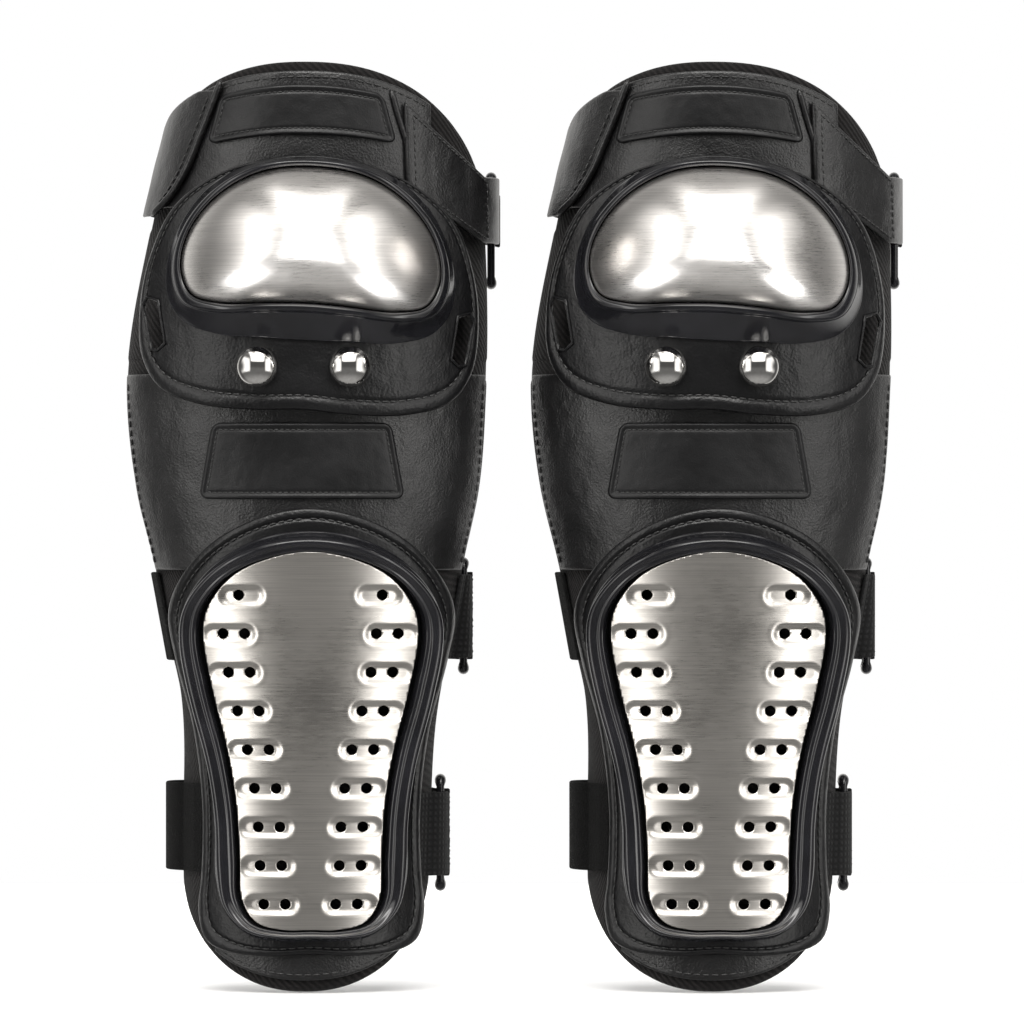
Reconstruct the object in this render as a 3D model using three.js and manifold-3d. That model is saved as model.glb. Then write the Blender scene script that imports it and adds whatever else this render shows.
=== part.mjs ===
// A pair of articulated knee-and-shin guards, as motorcyclists wear them.
//
// Each guard is a chain of three soft shells (thigh, knee, shin) that bend at two lines across the leg.
// A pressed steel cup guards the knee and a pierced steel plate guards the shin.
// Three elastic straps close the guard behind the leg, each through a loop buckle and back onto itself.
//
// Millimetres. +Z runs up the thigh, the guards face -Y, and +X is the side with the buckles.
// The origin lies midway between the two knees, on the line that both knees bend about.

import * as THREE from 'three';
import { mergeVertices } from 'three/addons/utils/BufferGeometryUtils.js';
import Module from 'manifold-3d';

const wasm = await Module();
wasm.setup();

// ---------------------------------------------------------------- driving dimensions


// Shells, measured on the outside of the padded lining.
const thighTop = 132; // height of the top rim above the knee's bending line
const shinBottom = -267; // height of the bottom rim
const thighBend = 66; // height of the line where the thigh shell bends on the knee shell
const kneeHalfWidth = 78;
const guardGap = 18.8; // between the two guards at their widest
const thighInnerHalfWidth = 50; // at the top rim, on the side away from the buckles
const thighBendHalfWidth = 66.5; // where the thigh bends, on the same side
const shinHalfWidth = 55;
const shinShift = 2; // at the ankle's top the sleeve sits this far towards the buckles
const sleeveDepth = 58; // from the rear edges to the front of the lining at the knee
const thighDepth = 55; // the same, at the top rim
const footDepth = 44; // the same, at the bottom rim
const kneeLiningDepth = 51.5; // the knee lining lies deeper, so that the panels below slide over it
const rimDropBuckleSide = 58; // how far the top rim falls towards the rear edge
const rimDropInnerSide = 24;
const footRise = 47; // how far the bottom rim climbs towards the rear edges

const liningThickness = 6;
const leatherThickness = 1.6;
const layerGap = 0.4; // between two hard layers that lie on each other
const softGap = 0.7; // between two soft layers that lie on each other
const bendGap = 2; // from a bending line to the edge of each shell

// Knee unit. Its outline leans a little, as it is sewn.
const kneeUnitCentre = new THREE.Vector2(2.6, 36);
const kneeUnitLean = THREE.MathUtils.degToRad(-3);
const flangeInset = 4.5; // from the sleeve's widest line to the flange's edge
const flangeTop = 91.5;
const flangeBottom = -18.5;
const flangeDepth = 70;
const flangeThickness = 2;
const flangeRollMargin = 6; // from the sleeve's widest line to the ellipse that the flange is bent to
const bezelWidth = 6.5; // from the cup's edge to the bezel's, at the sides
const bezelTop = 90.5;
const bezelBottom = 12.4;
const cupHalfWidth = 55.5;
const cupTop = 86;
const cupBottom = 26.5;
const cupRimDepth = 79; // from the rear edges to the middle of the cup's rim
// the cup's rim is bent to an ellipse this share of the way from its edge to the flange's ellipse
const cupRollShare = 23 / 57;
const cupRollDepth = 48;
const cupCrown = 21; // how far the dome stands proud of its rim
const steelThickness = 1.4;
const bezelLip = 2.5; // how far the bezel stands proud of the cup's rim
const bezelLipWidth = 4;

const rivetSpacing = 38.7;
const rivetHeight = 1.2;
const rivetHeadRadius = 9;
const rivetShankRadius = 2.2;
const rivetHoleClearance = 0.4;
const rivetTailRadius = 4.5;
const rivetTailThickness = 1.3;

// Shin unit.
const shinUnitShift = 2.8; // of the unit's centre line, towards the buckles
const shinFlangeTop = -59.5;
const shinFlangeMargin = 15.5; // from the bottom of the flange to the bottom rim
const shinFlangeHalfWidth = 62.3;
const shinFlangeStandoff = 5.6; // from the lining to the flange's face, in front
const shinFlangeSideStandoff = 5.8; // the same, at the sides
const shinFrameHalfWidth = 55.5;
const shinPlateHalfWidth = 46.5;
const shinFrameInset = 9.5; // from the flange's ends to the frame's
const shinPlateInset = 18.5; // from the flange's top edge to the plate's
const shinPlateFootInset = 11.5; // from the flange's bottom edge to the plate's
const shinFrameRise = 8; // height of the frame's ridge above the flange
const shinPlateRise = 5;
const plateRows = 9;
const plateHoleRadius = 2.1;
const plateHolePitch = 9.3; // between the two holes of a pair
const plateHoleSides = 6;
const plateTopHoleInset = 1.5; // from the line of the outer holes to the single holes of the top row

// Straps and loop buckles.
const strapWidth = 38;
const strapThickness = 1.8;
const strapRear = 52; // outer face of every strap, behind the leg
const strapFlat = 20; // half-length of the straight run behind the leg
const buckleBarRadius = 1.7;
const buckleWindow = 15; // between the axes of a buckle's two long bars
const buckleEndRoom = 8; // that a buckle is taller between its short bars than the strap is wide
const strapBarClearance = 1.4; // room that lets a threaded buckle swivel
const tongueGap = 1.4; // between a strap's turn and its hook tongue
const hookThickness = 2.4; // a tongue with its sewn-on hook patch

// Sizes that follow from those above.
const guardSpacing = 2 * kneeHalfWidth + guardGap; // between the centre lines of the two guards
const flangeHalfWidth = kneeHalfWidth - flangeInset;
const flangeRoll = kneeHalfWidth + flangeRollMargin;
const bezelHalfWidth = cupHalfWidth + bezelWidth;
const cupRoll = THREE.MathUtils.lerp(cupHalfWidth, flangeRoll, cupRollShare);
const buckleHeight = strapWidth + buckleEndRoom;

// ---------------------------------------------------------------- closed solids from grids of points

function geometryOf(points, triangles) {
  const positions = new Float32Array(points.length * 3);
  points.forEach((p, i) => p.toArray(positions, i * 3));
  let volume = 0;
  for (const [a, b, c] of triangles) {
    volume += points[a].dot(new THREE.Vector3().crossVectors(points[b], points[c]));
  }
  const outward = volume < 0 ? triangles.map(([a, b, c]) => [a, c, b]) : triangles;
  const geometry = new THREE.BufferGeometry();
  geometry.setAttribute('position', new THREE.BufferAttribute(positions, 3));
  geometry.setIndex(outward.flat());
  geometry.computeVertexNormals();
  return geometry;
}

// Two faces of a sheet, each a grid of points [row][column], closed along all four edges.
function sheetSolid(front, back) {
  const rows = front.length;
  const columns = front[0].length;
  const points = [...front.flat(), ...back.flat()];
  const at = (side, i, j) => side * rows * columns + i * columns + j;
  const triangles = [];
  const quad = (a, b, c, d) => triangles.push([a, b, c], [a, c, d]);
  for (let i = 0; i < rows - 1; i += 1) {
    for (let j = 0; j < columns - 1; j += 1) {
      quad(at(0, i, j), at(0, i, j + 1), at(0, i + 1, j + 1), at(0, i + 1, j));
      quad(at(1, i, j), at(1, i + 1, j), at(1, i + 1, j + 1), at(1, i, j + 1));
    }
  }
  for (let i = 0; i < rows - 1; i += 1) {
    quad(at(0, i, 0), at(0, i + 1, 0), at(1, i + 1, 0), at(1, i, 0));
    const last = columns - 1;
    quad(at(0, i, last), at(1, i, last), at(1, i + 1, last), at(0, i + 1, last));
  }
  for (let j = 0; j < columns - 1; j += 1) {
    quad(at(0, 0, j), at(1, 0, j), at(1, 0, j + 1), at(0, 0, j + 1));
    const last = rows - 1;
    quad(at(0, last, j), at(0, last, j + 1), at(1, last, j + 1), at(1, last, j));
  }
  return geometryOf(points, triangles);
}

// Closed loops of points, each joined to the next. The last joins the first, or both ends close on a point.
function loopSolid(loops, ends) {
  const count = loops[0].length;
  const points = loops.flat();
  const triangles = [];
  const spans = ends ? loops.length - 1 : loops.length;
  for (let k = 0; k < spans; k += 1) {
    const here = k * count;
    const next = ((k + 1) % loops.length) * count;
    for (let m = 0; m < count; m += 1) {
      const n = (m + 1) % count;
      triangles.push([here + m, here + n, next + n], [here + m, next + n, next + m]);
    }
  }
  if (ends) {
    const first = points.push(ends[0]) - 1;
    const last = points.push(ends[1]) - 1;
    const lastLoop = (loops.length - 1) * count;
    for (let m = 0; m < count; m += 1) {
      const n = (m + 1) % count;
      triangles.push([first, n, m], [last, lastLoop + m, lastLoop + n]);
    }
  }
  return geometryOf(points, triangles);
}

function toManifold(geometry) {
  const bare = geometry.clone();
  bare.deleteAttribute('normal');
  bare.deleteAttribute('uv');
  const merged = mergeVertices(bare, 1e-4);
  return new wasm.Manifold(new wasm.Mesh({
    numProp: 3,
    vertProperties: merged.attributes.position.array,
    triVerts: new Uint32Array(merged.index.array),
  }));
}

function fromManifold(solid) {
  const made = solid.getMesh();
  const geometry = new THREE.BufferGeometry();
  geometry.setAttribute('position', new THREE.BufferAttribute(made.vertProperties, 3));
  geometry.setIndex(new THREE.BufferAttribute(made.triVerts, 1));
  geometry.computeVertexNormals();
  return geometry;
}

function cut(geometry, tools) {
  return fromManifold(tools.reduce((left, tool) => left.subtract(toManifold(tool)), toManifold(geometry)));
}

// ---------------------------------------------------------------- outlines, seen from the front

// The right half of an outline as [share of the half-width, share of the height from the bottom],
// from its top middle to its bottom middle, made whole by its mirror image.
const cupHalf = [[0, 1], [0.38, 0.955], [0.68, 0.81], [0.89, 0.6], [0.99, 0.38], [0.99, 0.2], [0.9, 0.05],
  [0.68, 0], [0.3, 0.02], [0, 0.03]];
const bezelHalf = [[0, 1], [0.38, 0.965], [0.7, 0.835], [0.91, 0.61], [1, 0.36], [0.98, 0.2], [0.86, 0.07],
  [0.62, 0.01], [0.3, 0], [0, 0]];
const flangeHalf = [[0, 1], [0.3, 0.975], [0.6, 0.9], [0.83, 0.77], [0.96, 0.56], [1, 0.36], [0.97, 0.18],
  [0.86, 0.07], [0.62, 0.012], [0.3, 0], [0, 0.01]];
const shinFlangeHalf = [[0, 1], [0.35, 0.98], [0.68, 0.925], [0.9, 0.85], [1, 0.77], [0.95, 0.66],
  [0.82, 0.5], [0.76, 0.33], [0.77, 0.17], [0.79, 0.1], [0.74, 0.035], [0.6, 0.01], [0.3, 0], [0, 0.005]];
const shinFrameHalf = [[0, 1], [0.4, 0.98], [0.75, 0.915], [0.96, 0.82], [0.99, 0.74], [0.9, 0.58],
  [0.78, 0.42], [0.73, 0.28], [0.72, 0.15], [0.64, 0.065], [0.45, 0.012], [0.22, 0], [0, 0]];
const shinPlateHalf = [[0, 1], [0.4, 0.98], [0.74, 0.93], [0.95, 0.85], [0.99, 0.78], [0.9, 0.63],
  [0.76, 0.47], [0.68, 0.33], [0.65, 0.19], [0.63, 0.08], [0.5, 0.02], [0.25, 0], [0, 0]];

function outline(half, halfWidth, top, bottom, count) {
  const right = half.map(([u, v]) => new THREE.Vector3(u * halfWidth, 0, bottom + v * (top - bottom)));
  const left = right.slice(1, -1).reverse().map((p) => new THREE.Vector3(-p.x, 0, p.z));
  const curve = new THREE.CatmullRomCurve3([...right, ...left], true, 'centripetal');
  return curve.getSpacedPoints(count).slice(0, count).map((p) => new THREE.Vector2(p.x, p.z));
}

function leanKneeUnit(p) {
  const aboutX = new THREE.Vector2(0, kneeUnitCentre.y);
  return p.clone().rotateAround(aboutX, kneeUnitLean).add(new THREE.Vector2(kneeUnitCentre.x, 0));
}

// Loops that shrink an outline towards its middle, or run from one outline to another.
function between(inner, outer, share) {
  return inner.map((p, i) => p.clone().lerp(outer[i], share));
}

function middleOf(points) {
  const box = new THREE.Box2().setFromPoints(points);
  return box.getCenter(new THREE.Vector2());
}

const ellipseDepth = (x, halfWidth, depth) => depth * Math.sqrt(Math.max(0, 1 - (x / halfWidth) ** 2));

// The outward normal of a face whose depth towards the front is known at every point of the outline plane.
function faceNormal(front, p) {
  const step = 0.5;
  const frontAt = (dx, dz) => front(new THREE.Vector2(p.x + dx, p.y + dz));
  const slopeX = (frontAt(step, 0) - frontAt(-step, 0)) / (2 * step);
  const slopeZ = (frontAt(0, step) - frontAt(0, -step)) / (2 * step);
  return new THREE.Vector3(-slopeX, -1, -slopeZ).normalize();
}

// A point that stands off a face along its normal.
function standOff(front, p, distance) {
  return new THREE.Vector3(p.x, -front(p), p.y).addScaledVector(faceNormal(front, p), distance);
}

// A plate with a domed or rolled face: rings from the middle to the outline, in front and behind.
function rolledPlate(edge, shares, front, thickness) {
  const centre = middleOf(edge);
  const loop = (share, distance) => edge.map((p) => {
    const at = centre.clone().lerp(p, share);
    return standOff((q) => front(q, share), at, distance);
  });
  const pole = (distance) => standOff((q) => front(q, 0), centre, distance);
  return loopSolid([
    ...shares.map((share) => loop(share, 0)),
    ...shares.slice().reverse().map((share) => loop(share, -thickness)),
  ], [pole(0), pole(-thickness)]);
}

// A plate with a hole: it runs from the hole's outline to the outer one, in front and behind.
function rolledRing(hole, edge, front, thickness) {
  const shares = [0, 0.5, 1];
  const loop = (share, distance) => between(hole, edge, share).map((p) => standOff(front, p, distance));
  return loopSolid([
    ...shares.map((share) => loop(share, 0)),
    ...shares.slice().reverse().map((share) => loop(share, -thickness)),
  ]);
}

// ---------------------------------------------------------------- the padded sleeve

// Stations of the sleeve: [height, half-width], read between by straight lines.
function readStations(stations, z) {
  const after = stations.findIndex(([height]) => height <= z);
  if (after === 0) return stations[0][1];
  if (after < 0) return stations[stations.length - 1][1];
  const [zHigh, wHigh] = stations[after - 1];
  const [zLow, wLow] = stations[after];
  return THREE.MathUtils.mapLinear(z, zLow, zHigh, wLow, wHigh);
}

const kneeFoot = -10; // the sleeve is widest here
const calf = -86; // the middle panel ends here
const ankleStart = -138;
const footStart = (ankleStart + shinBottom) / 2;
const innerStations = [[thighTop, thighInnerHalfWidth], [thighBend, thighBendHalfWidth],
  [kneeFoot, kneeHalfWidth]];
const buckleStations = [[thighTop, kneeHalfWidth - 4], [kneeFoot, kneeHalfWidth]];
const lowerStations = [[kneeFoot, kneeHalfWidth], [-50, kneeHalfWidth - 3.5],
  [calf, (kneeHalfWidth + shinHalfWidth) / 2], [-112, shinHalfWidth + 7], [ankleStart, shinHalfWidth + 1.5],
  [footStart, shinHalfWidth - 1.5], [shinBottom, shinHalfWidth - 2.5]];

function sleeveHalfWidth(angle, z) {
  if (z <= kneeFoot) return readStations(lowerStations, z);
  return readStations(angle < 0 ? innerStations : buckleStations, z);
}

function sleeveDepthAt(z) {
  if (z >= 0) return THREE.MathUtils.mapLinear(z, 0, thighTop, sleeveDepth, thighDepth);
  return THREE.MathUtils.mapLinear(z, shinBottom, 0, footDepth, sleeveDepth);
}

// The sleeve leans towards the buckles down to the ankle, and is back in the middle halfway to the foot.
function sleeveShift(z) {
  const share = Math.min(z / ankleStart, (z - footStart) / (ankleStart - footStart));
  return shinShift * THREE.MathUtils.clamp(share, 0, 1);
}

// A point of the sleeve at an angle round the leg (0 in front, positive towards the buckles).
function sleevePoint(degrees, z, offset, depth = sleeveDepthAt(z)) {
  const angle = THREE.MathUtils.degToRad(degrees);
  return new THREE.Vector3(
    sleeveShift(z) + (sleeveHalfWidth(angle, z) + offset) * Math.sin(angle),
    -(depth + offset) * Math.cos(angle),
    z,
  );
}

const fall = (degrees) => 1 - Math.cos(THREE.MathUtils.degToRad(degrees));
const topRim = (degrees) =>
  thighTop - (degrees < 0 ? rimDropInnerSide : rimDropBuckleSide) * fall(degrees) ** 1.15;
const bottomRim = (degrees) => shinBottom + footRise * fall(degrees) ** 1.1;

const angleStep = 15; // every shell has its corners at the same angles, so that layers never cross
const anglesFrom = (from, to) =>
  Array.from({ length: Math.round((to - from) / angleStep) + 1 }, (_, j) => from + j * angleStep);
const rimShare = (low, high, share) => (degrees) => THREE.MathUtils.lerp(low(degrees), high(degrees), share);
const evenly = (low, high, count) =>
  Array.from({ length: count + 1 }, (_, i) => rimShare(low, high, i / count));
const level = (z) => () => z;

// A shell of the sleeve. Each of its rows is a height for every angle.
function sleeveShell({ angles, rows, inner, outer, depth }) {
  const grid = (offset) => rows.map((height) =>
    angles.map((degrees) => sleevePoint(degrees, height(degrees), offset, depth)));
  return sheetSolid(grid(outer), grid(inner));
}

const liningRows = 3;

function thighLining() {
  return sleeveShell({
    angles: anglesFrom(-90, 90),
    rows: evenly(level(thighBend + bendGap), topRim, liningRows),
    inner: -liningThickness,
    outer: 0,
  });
}

function kneeLining() {
  const droop = thighBend / 5;
  return sleeveShell({
    angles: anglesFrom(-90, 90),
    rows: evenly(level(bendGap), (degrees) => thighBend - bendGap - droop * (1 - fall(degrees)), liningRows),
    inner: -liningThickness,
    outer: 0,
    depth: kneeLiningDepth,
  });
}

const shinLevels = [-bendGap, kneeFoot, -50, calf, -112, ankleStart];

function shinLining() {
  return sleeveShell({
    angles: anglesFrom(-90, 90),
    rows: [...shinLevels.map(level), (degrees) => (ankleStart + bottomRim(degrees)) / 2, bottomRim],
    inner: -liningThickness,
    outer: 0,
  });
}

const panelInner = softGap;
const panelOuter = softGap + leatherThickness;
const panelEdge = 75; // the leather stops at this angle, short of the lining's rear edge

function thighPanel() {
  const rimMargin = 4;
  return sleeveShell({
    angles: anglesFrom(-panelEdge, 45),
    rows: evenly(level(thighBend + 2 * bendGap), (degrees) => topRim(degrees) - rimMargin, liningRows),
    inner: panelInner,
    outer: panelOuter,
  });
}

// The panel below the knee. Its middle runs up behind the knee unit on a circle about the bending line,
// so that the knee unit slides over it without showing a gap.
function middlePanel() {
  const reach = THREE.MathUtils.degToRad(24);
  const tailAngle = 50;
  const angles = anglesFrom(-panelEdge, panelEdge);
  const grid = (offset) => {
    const rowAt = (z) => angles.map((degrees) => sleevePoint(degrees, z, offset));
    const flat = shinLevels.slice(0, 4).reverse().map(rowAt);
    const tail = [0.5, 1].map((share) => angles.map((degrees) => {
      const rise = Math.abs(degrees) <= tailAngle ? reach * share : share / 500;
      const p = sleevePoint(degrees, -bendGap, offset);
      const radius = Math.hypot(p.y, p.z);
      const start = Math.atan2(p.z, -p.y);
      return new THREE.Vector3(p.x, -radius * Math.cos(start + rise), radius * Math.sin(start + rise));
    }));
    return [...flat, ...tail];
  };
  return sheetSolid(grid(panelOuter), grid(panelInner));
}

// The leather hem that shows below the shin unit.
function footPanel() {
  const rimMargin = 5;
  const height = 12;
  return sleeveShell({
    angles: anglesFrom(-45, 45),
    rows: evenly(
      (degrees) => bottomRim(degrees) + rimMargin,
      (degrees) => bottomRim(degrees) + rimMargin + height,
      1,
    ),
    inner: panelInner,
    outer: panelOuter,
  });
}

// A sewn-on patch with straight sides, from the half-widths and heights of its bottom and top edges.
function labelPatch({ bottomHalf, topHalf, bottom, top, bow, shift }) {
  const columns = 8;
  const rows = 2;
  const inner = panelOuter + softGap;
  const grid = (offset) => Array.from({ length: rows + 1 }, (_, i) =>
    Array.from({ length: columns + 1 }, (__, j) => {
      const u = THREE.MathUtils.mapLinear(j, 0, columns, -1, 1);
      const v = i / rows;
      const x = shift + u * THREE.MathUtils.lerp(bottomHalf, topHalf, v);
      const z = THREE.MathUtils.lerp(bottom, top, v) - bow * u * u;
      const halfWidth = sleeveHalfWidth(x, z) + offset;
      return new THREE.Vector3(x, -ellipseDepth(x - sleeveShift(z), halfWidth, sleeveDepthAt(z) + offset), z);
    }));
  return sheetSolid(grid(inner + leatherThickness), grid(inner));
}

// ---------------------------------------------------------------- side panels, straps, tabs and tongues

const sidePanelInner = panelOuter + softGap;

function innerSidePanel() {
  const seam = { topDrop: 4, low: thighTop - 49 };
  return sleeveShell({
    angles: anglesFrom(-panelEdge, -45),
    rows: evenly(
      (degrees) => THREE.MathUtils.mapLinear(degrees, -45, -panelEdge, seam.low, thighBend + 2 * bendGap),
      (degrees) => topRim(degrees) - seam.topDrop,
      liningRows,
    ),
    inner: sidePanelInner,
    outer: sidePanelInner + leatherThickness,
  });
}

// A ribbon over lines of equal length that run along it, thickened across its run.
function ribbon(lines, thickness) {
  const shifted = (line, sign) => line.map((p, i) => {
    const before = line[Math.max(i - 1, 0)];
    const after = line[Math.min(i + 1, line.length - 1)];
    const along = new THREE.Vector2(after.x - before.x, after.y - before.y).normalize();
    const shift = (sign * thickness) / 2;
    return new THREE.Vector3(p.x + shift * along.y, p.y - shift * along.x, p.z);
  });
  const side = (sign) => {
    const moved = lines.map((line) => shifted(line, sign));
    return moved[0].map((_, i) => moved.map((line) => line[i]));
  };
  return sheetSolid(side(1), side(-1));
}

// Each strap's buckle: the middle of its front bar.
const buckles = {
  thigh: { x: kneeHalfWidth + 2, y: 6, z: thighBend - 5 },
  middle: { x: kneeHalfWidth - 10, y: 6, z: calf - 1 - strapWidth / 2 },
  lower: { x: shinHalfWidth + 3, y: 6, z: -200 },
};
const turnRadius = buckleBarRadius + strapBarClearance + strapThickness / 2;
const tabRadius = buckleBarRadius + layerGap + leatherThickness / 2;

function buckleLoop({ x, y, z }) {
  const halfWindow = buckleWindow / 2;
  const halfHeight = buckleHeight / 2;
  const corner = 4;
  const cornerSteps = 2;
  const path = [];
  for (const [signY, signZ, start] of [[1, 1, 0], [-1, 1, 90], [-1, -1, 180], [1, -1, 270]]) {
    for (let k = 0; k <= cornerSteps; k += 1) {
      const turn = THREE.MathUtils.degToRad(start + (90 * k) / cornerSteps);
      path.push(new THREE.Vector2(
        signY * (halfWindow - corner) + corner * Math.cos(turn),
        signZ * (halfHeight - corner) + corner * Math.sin(turn),
      ));
    }
  }
  const sides = 6;
  const centreY = y + halfWindow;
  const loops = path.map((p, i) => {
    const before = path[(i + path.length - 1) % path.length];
    const after = path[(i + 1) % path.length];
    const along = after.clone().sub(before).normalize();
    return Array.from({ length: sides }, (_, m) => {
      const turn = (2 * Math.PI * (m + 0.5)) / sides;
      const out = buckleBarRadius * Math.cos(turn);
      return new THREE.Vector3(
        x + buckleBarRadius * Math.sin(turn),
        centreY + p.x + out * along.y,
        z + p.y - out * along.x,
      );
    });
  });
  return loopSolid(loops);
}

// A path seen from above, lifted to the height of one edge of its band.
const lift = (path, divisions, height) =>
  path.getPoints(divisions).map((p) => new THREE.Vector3(p.x, p.y, height(p)));

// A strap: sewn to the sleeve over some angles, round the back of the leg, round its buckle's rear bar.
function strapEdge(route, above) {
  const { buckle, sewn, swing, slope } = route;
  const height = (p) => buckle.z + above + slope * (p.x - buckle.x);
  const rearCentre = strapRear - strapThickness / 2;
  const barY = buckle.y + buckleWindow;
  const innerX = buckle.x - turnRadius;
  const offset = softGap + strapThickness / 2;
  const [first, ...others] = sewn.map((degrees) => {
    const rough = sleevePoint(degrees, buckle.z, offset);
    return sleevePoint(degrees, height(rough), offset);
  });
  const path = new THREE.Path();
  path.moveTo(first.x, first.y);
  for (const p of others) path.lineTo(p.x, p.y);
  const side = -(swing.x + swing.taper * above);
  path.quadraticCurveTo(side, swing.lead, side, swing.y);
  path.bezierCurveTo(side, swing.corner, -strapFlat * 1.8, rearCentre, -strapFlat, rearCentre);
  path.lineTo(strapFlat, rearCentre);
  path.bezierCurveTo(strapFlat * 2, rearCentre, innerX, swing.corner, innerX, barY);
  path.absarc(buckle.x, barY, turnRadius, Math.PI, 2 * Math.PI, false);
  path.lineTo(buckle.x + turnRadius, barY + 2);
  return lift(path, 5, height);
}

// Three lines along each strap or tab, so that it follows the sleeve where it is sewn on.
const acrossStrap = [-0.5, 0, 0.5];

const strap = (route) =>
  ribbon(acrossStrap.map((share) => strapEdge(route, share * strapWidth)), strapThickness);

// The hook end of a strap, lying on the strap outside the buckle.
function tongue(route) {
  const { buckle, slope } = route;
  const outside = (strapThickness + hookThickness) / 2 + layerGap;
  const barY = buckle.y + buckleWindow;
  const innerX = buckle.x - turnRadius;
  const rearCentre = strapRear - strapThickness / 2;
  const run = new THREE.CubicBezierCurve(
    new THREE.Vector2(innerX, barY),
    new THREE.Vector2(innerX, route.swing.corner),
    new THREE.Vector2(strapFlat * 2, rearCentre),
    new THREE.Vector2(strapFlat, rearCentre),
  );
  const line = [new THREE.Vector2(buckle.x + turnRadius, barY + 2 + tongueGap)];
  for (const share of [0.25, 0.35, 0.45, 0.55, 0.65, 0.75]) {
    const along = run.getTangent(share);
    line.push(run.getPoint(share).add(new THREE.Vector2(along.y, -along.x).multiplyScalar(outside)));
  }
  const edge = (above) => line.map((p) =>
    new THREE.Vector3(p.x, p.y, buckle.z + above + slope * (p.x - buckle.x)));
  const half = strapWidth / 2 - 1;
  return ribbon([edge(-half), edge(half)], hookThickness);
}

// One edge of a tab: over the sleeve, then folded round its buckle's front bar and back a little.
function tabEdge(buckle, angles, offset, rootHeight, endHeight) {
  const root = angles.map((degrees) => sleevePoint(degrees, rootHeight, offset));
  const path = new THREE.Path();
  path.moveTo(root[0].x, root[0].y);
  for (const p of root.slice(1)) path.lineTo(p.x, p.y);
  const last = root[root.length - 1];
  path.quadraticCurveTo(buckle.x + tabRadius, last.y * 0.6, buckle.x + tabRadius, buckle.y);
  path.absarc(buckle.x, buckle.y, tabRadius, 0, Math.PI, false);
  path.lineTo(buckle.x - tabRadius, buckle.y - 3);
  const firstX = root[0].x;
  const settle = (x) => THREE.MathUtils.clamp((x - firstX) / (buckle.x - tabRadius - firstX), 0, 1);
  return lift(path, 4, (p) => THREE.MathUtils.lerp(rootHeight, endHeight, settle(p.x)));
}

// The thigh panel on the buckle side, tapered, with its end folded round the buckle.
function buckleSidePanel() {
  const buckle = buckles.thigh;
  const offset = sidePanelInner + leatherThickness / 2;
  const angles = [30, 45, 60];
  const band = ribbon([
    tabEdge(buckle, angles, offset, thighBend + 12, buckle.z - 6),
    tabEdge(buckle, angles, offset, thighTop - 17, buckle.z + 18),
  ], leatherThickness);
  const seam = { x: 40, z: thighTop - 17, lean: THREE.MathUtils.degToRad(-17) };
  const waste = new THREE.BoxGeometry(40, 2 * thighDepth, 200);
  waste.translate(-20, -thighDepth, 0);
  waste.rotateY(seam.lean);
  waste.translate(seam.x, 0, seam.z);
  return cut(band, [waste]);
}

function buckleTab(buckle, angles) {
  const width = strapWidth - 2;
  const offset = softGap + leatherThickness / 2;
  const heights = acrossStrap.map((share) => buckle.z + share * width);
  return ribbon(heights.map((z) => tabEdge(buckle, angles, offset, z, z)), leatherThickness);
}

// ---------------------------------------------------------------- knee unit

const kneeEdge = (half, halfWidth, top, bottom, count) =>
  outline(half, halfWidth, top, bottom, count).map(leanKneeUnit);
const kneeSegments = 26;

// The flange follows the leg and bulges a little where the cup stands on it.
function flangeFront(p) {
  const swell = Math.cos(((p.y - 45) / 90) * (Math.PI / 2));
  return ellipseDepth(p.x, flangeRoll, flangeDepth) - 5 * (1 - Math.max(0, swell));
}

function ventTool(side) {
  const lengthHalf = 11;
  const widthHalf = 3;
  const corners = [[0.2, 1], [-1, 0.78], [-0.75, -0.8], [0.3, -1], [1, -0.9], [0.9, 0.75]];
  const shape = new THREE.Shape(
    corners.map(([u, v]) => new THREE.Vector2(u * side * widthHalf, v * lengthHalf)),
  );
  const tool = new THREE.ExtrudeGeometry(shape, { depth: flangeDepth, bevelEnabled: false });
  const place = leanKneeUnit(new THREE.Vector2(side * (flangeHalfWidth - 7.5), flangeBottom + 35));
  tool.rotateX(Math.PI / 2);
  tool.rotateY(side * THREE.MathUtils.degToRad(-12));
  tool.translate(place.x, 0, place.y);
  return tool;
}

const rivetPlaces = [-1, 1].map((side) => new THREE.Vector2((side * rivetSpacing) / 2, rivetHeight));

// Turns a geometry made about +Y so that +Y follows a face's normal, and stands it on that face.
function standOn(geometry, front, place, distance) {
  const turn = new THREE.Quaternion()
    .setFromUnitVectors(new THREE.Vector3(0, 1, 0), faceNormal(front, place));
  const at = standOff(front, place, distance);
  geometry.applyQuaternion(turn);
  geometry.translate(at.x, at.y, at.z);
  return geometry;
}

function kneeFlange() {
  const inset = 7;
  const hole = kneeEdge(cupHalf, cupHalfWidth - inset, cupTop - inset, cupBottom + inset, kneeSegments);
  const edge = kneeEdge(flangeHalf, flangeHalfWidth, flangeTop, flangeBottom, kneeSegments);
  const holeSides = 8;
  const holeRadius = rivetShankRadius + rivetHoleClearance;
  const rivetHoles = rivetPlaces.map((place) => {
    const tool = new THREE.CylinderGeometry(holeRadius, holeRadius, 6 * flangeThickness, holeSides);
    return standOn(tool, flangeFront, place, 0);
  });
  const ring = rolledRing(hole, edge, flangeFront, flangeThickness);
  return cut(ring, [...rivetHoles, ventTool(-1), ventTool(1)]);
}

const cupRimFront = (x) => cupRimDepth - cupRollDepth + ellipseDepth(x, cupRoll, cupRollDepth);

function cupFront(p, share) {
  return cupRimFront(p.x - kneeUnitCentre.x) + cupCrown * (1 - share * share) ** 0.8;
}

function kneeCup() {
  const edge = kneeEdge(cupHalf, cupHalfWidth, cupTop, cupBottom, kneeSegments);
  return rolledPlate(edge, [0.35, 0.65, 0.87, 1], cupFront, steelThickness);
}

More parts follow.
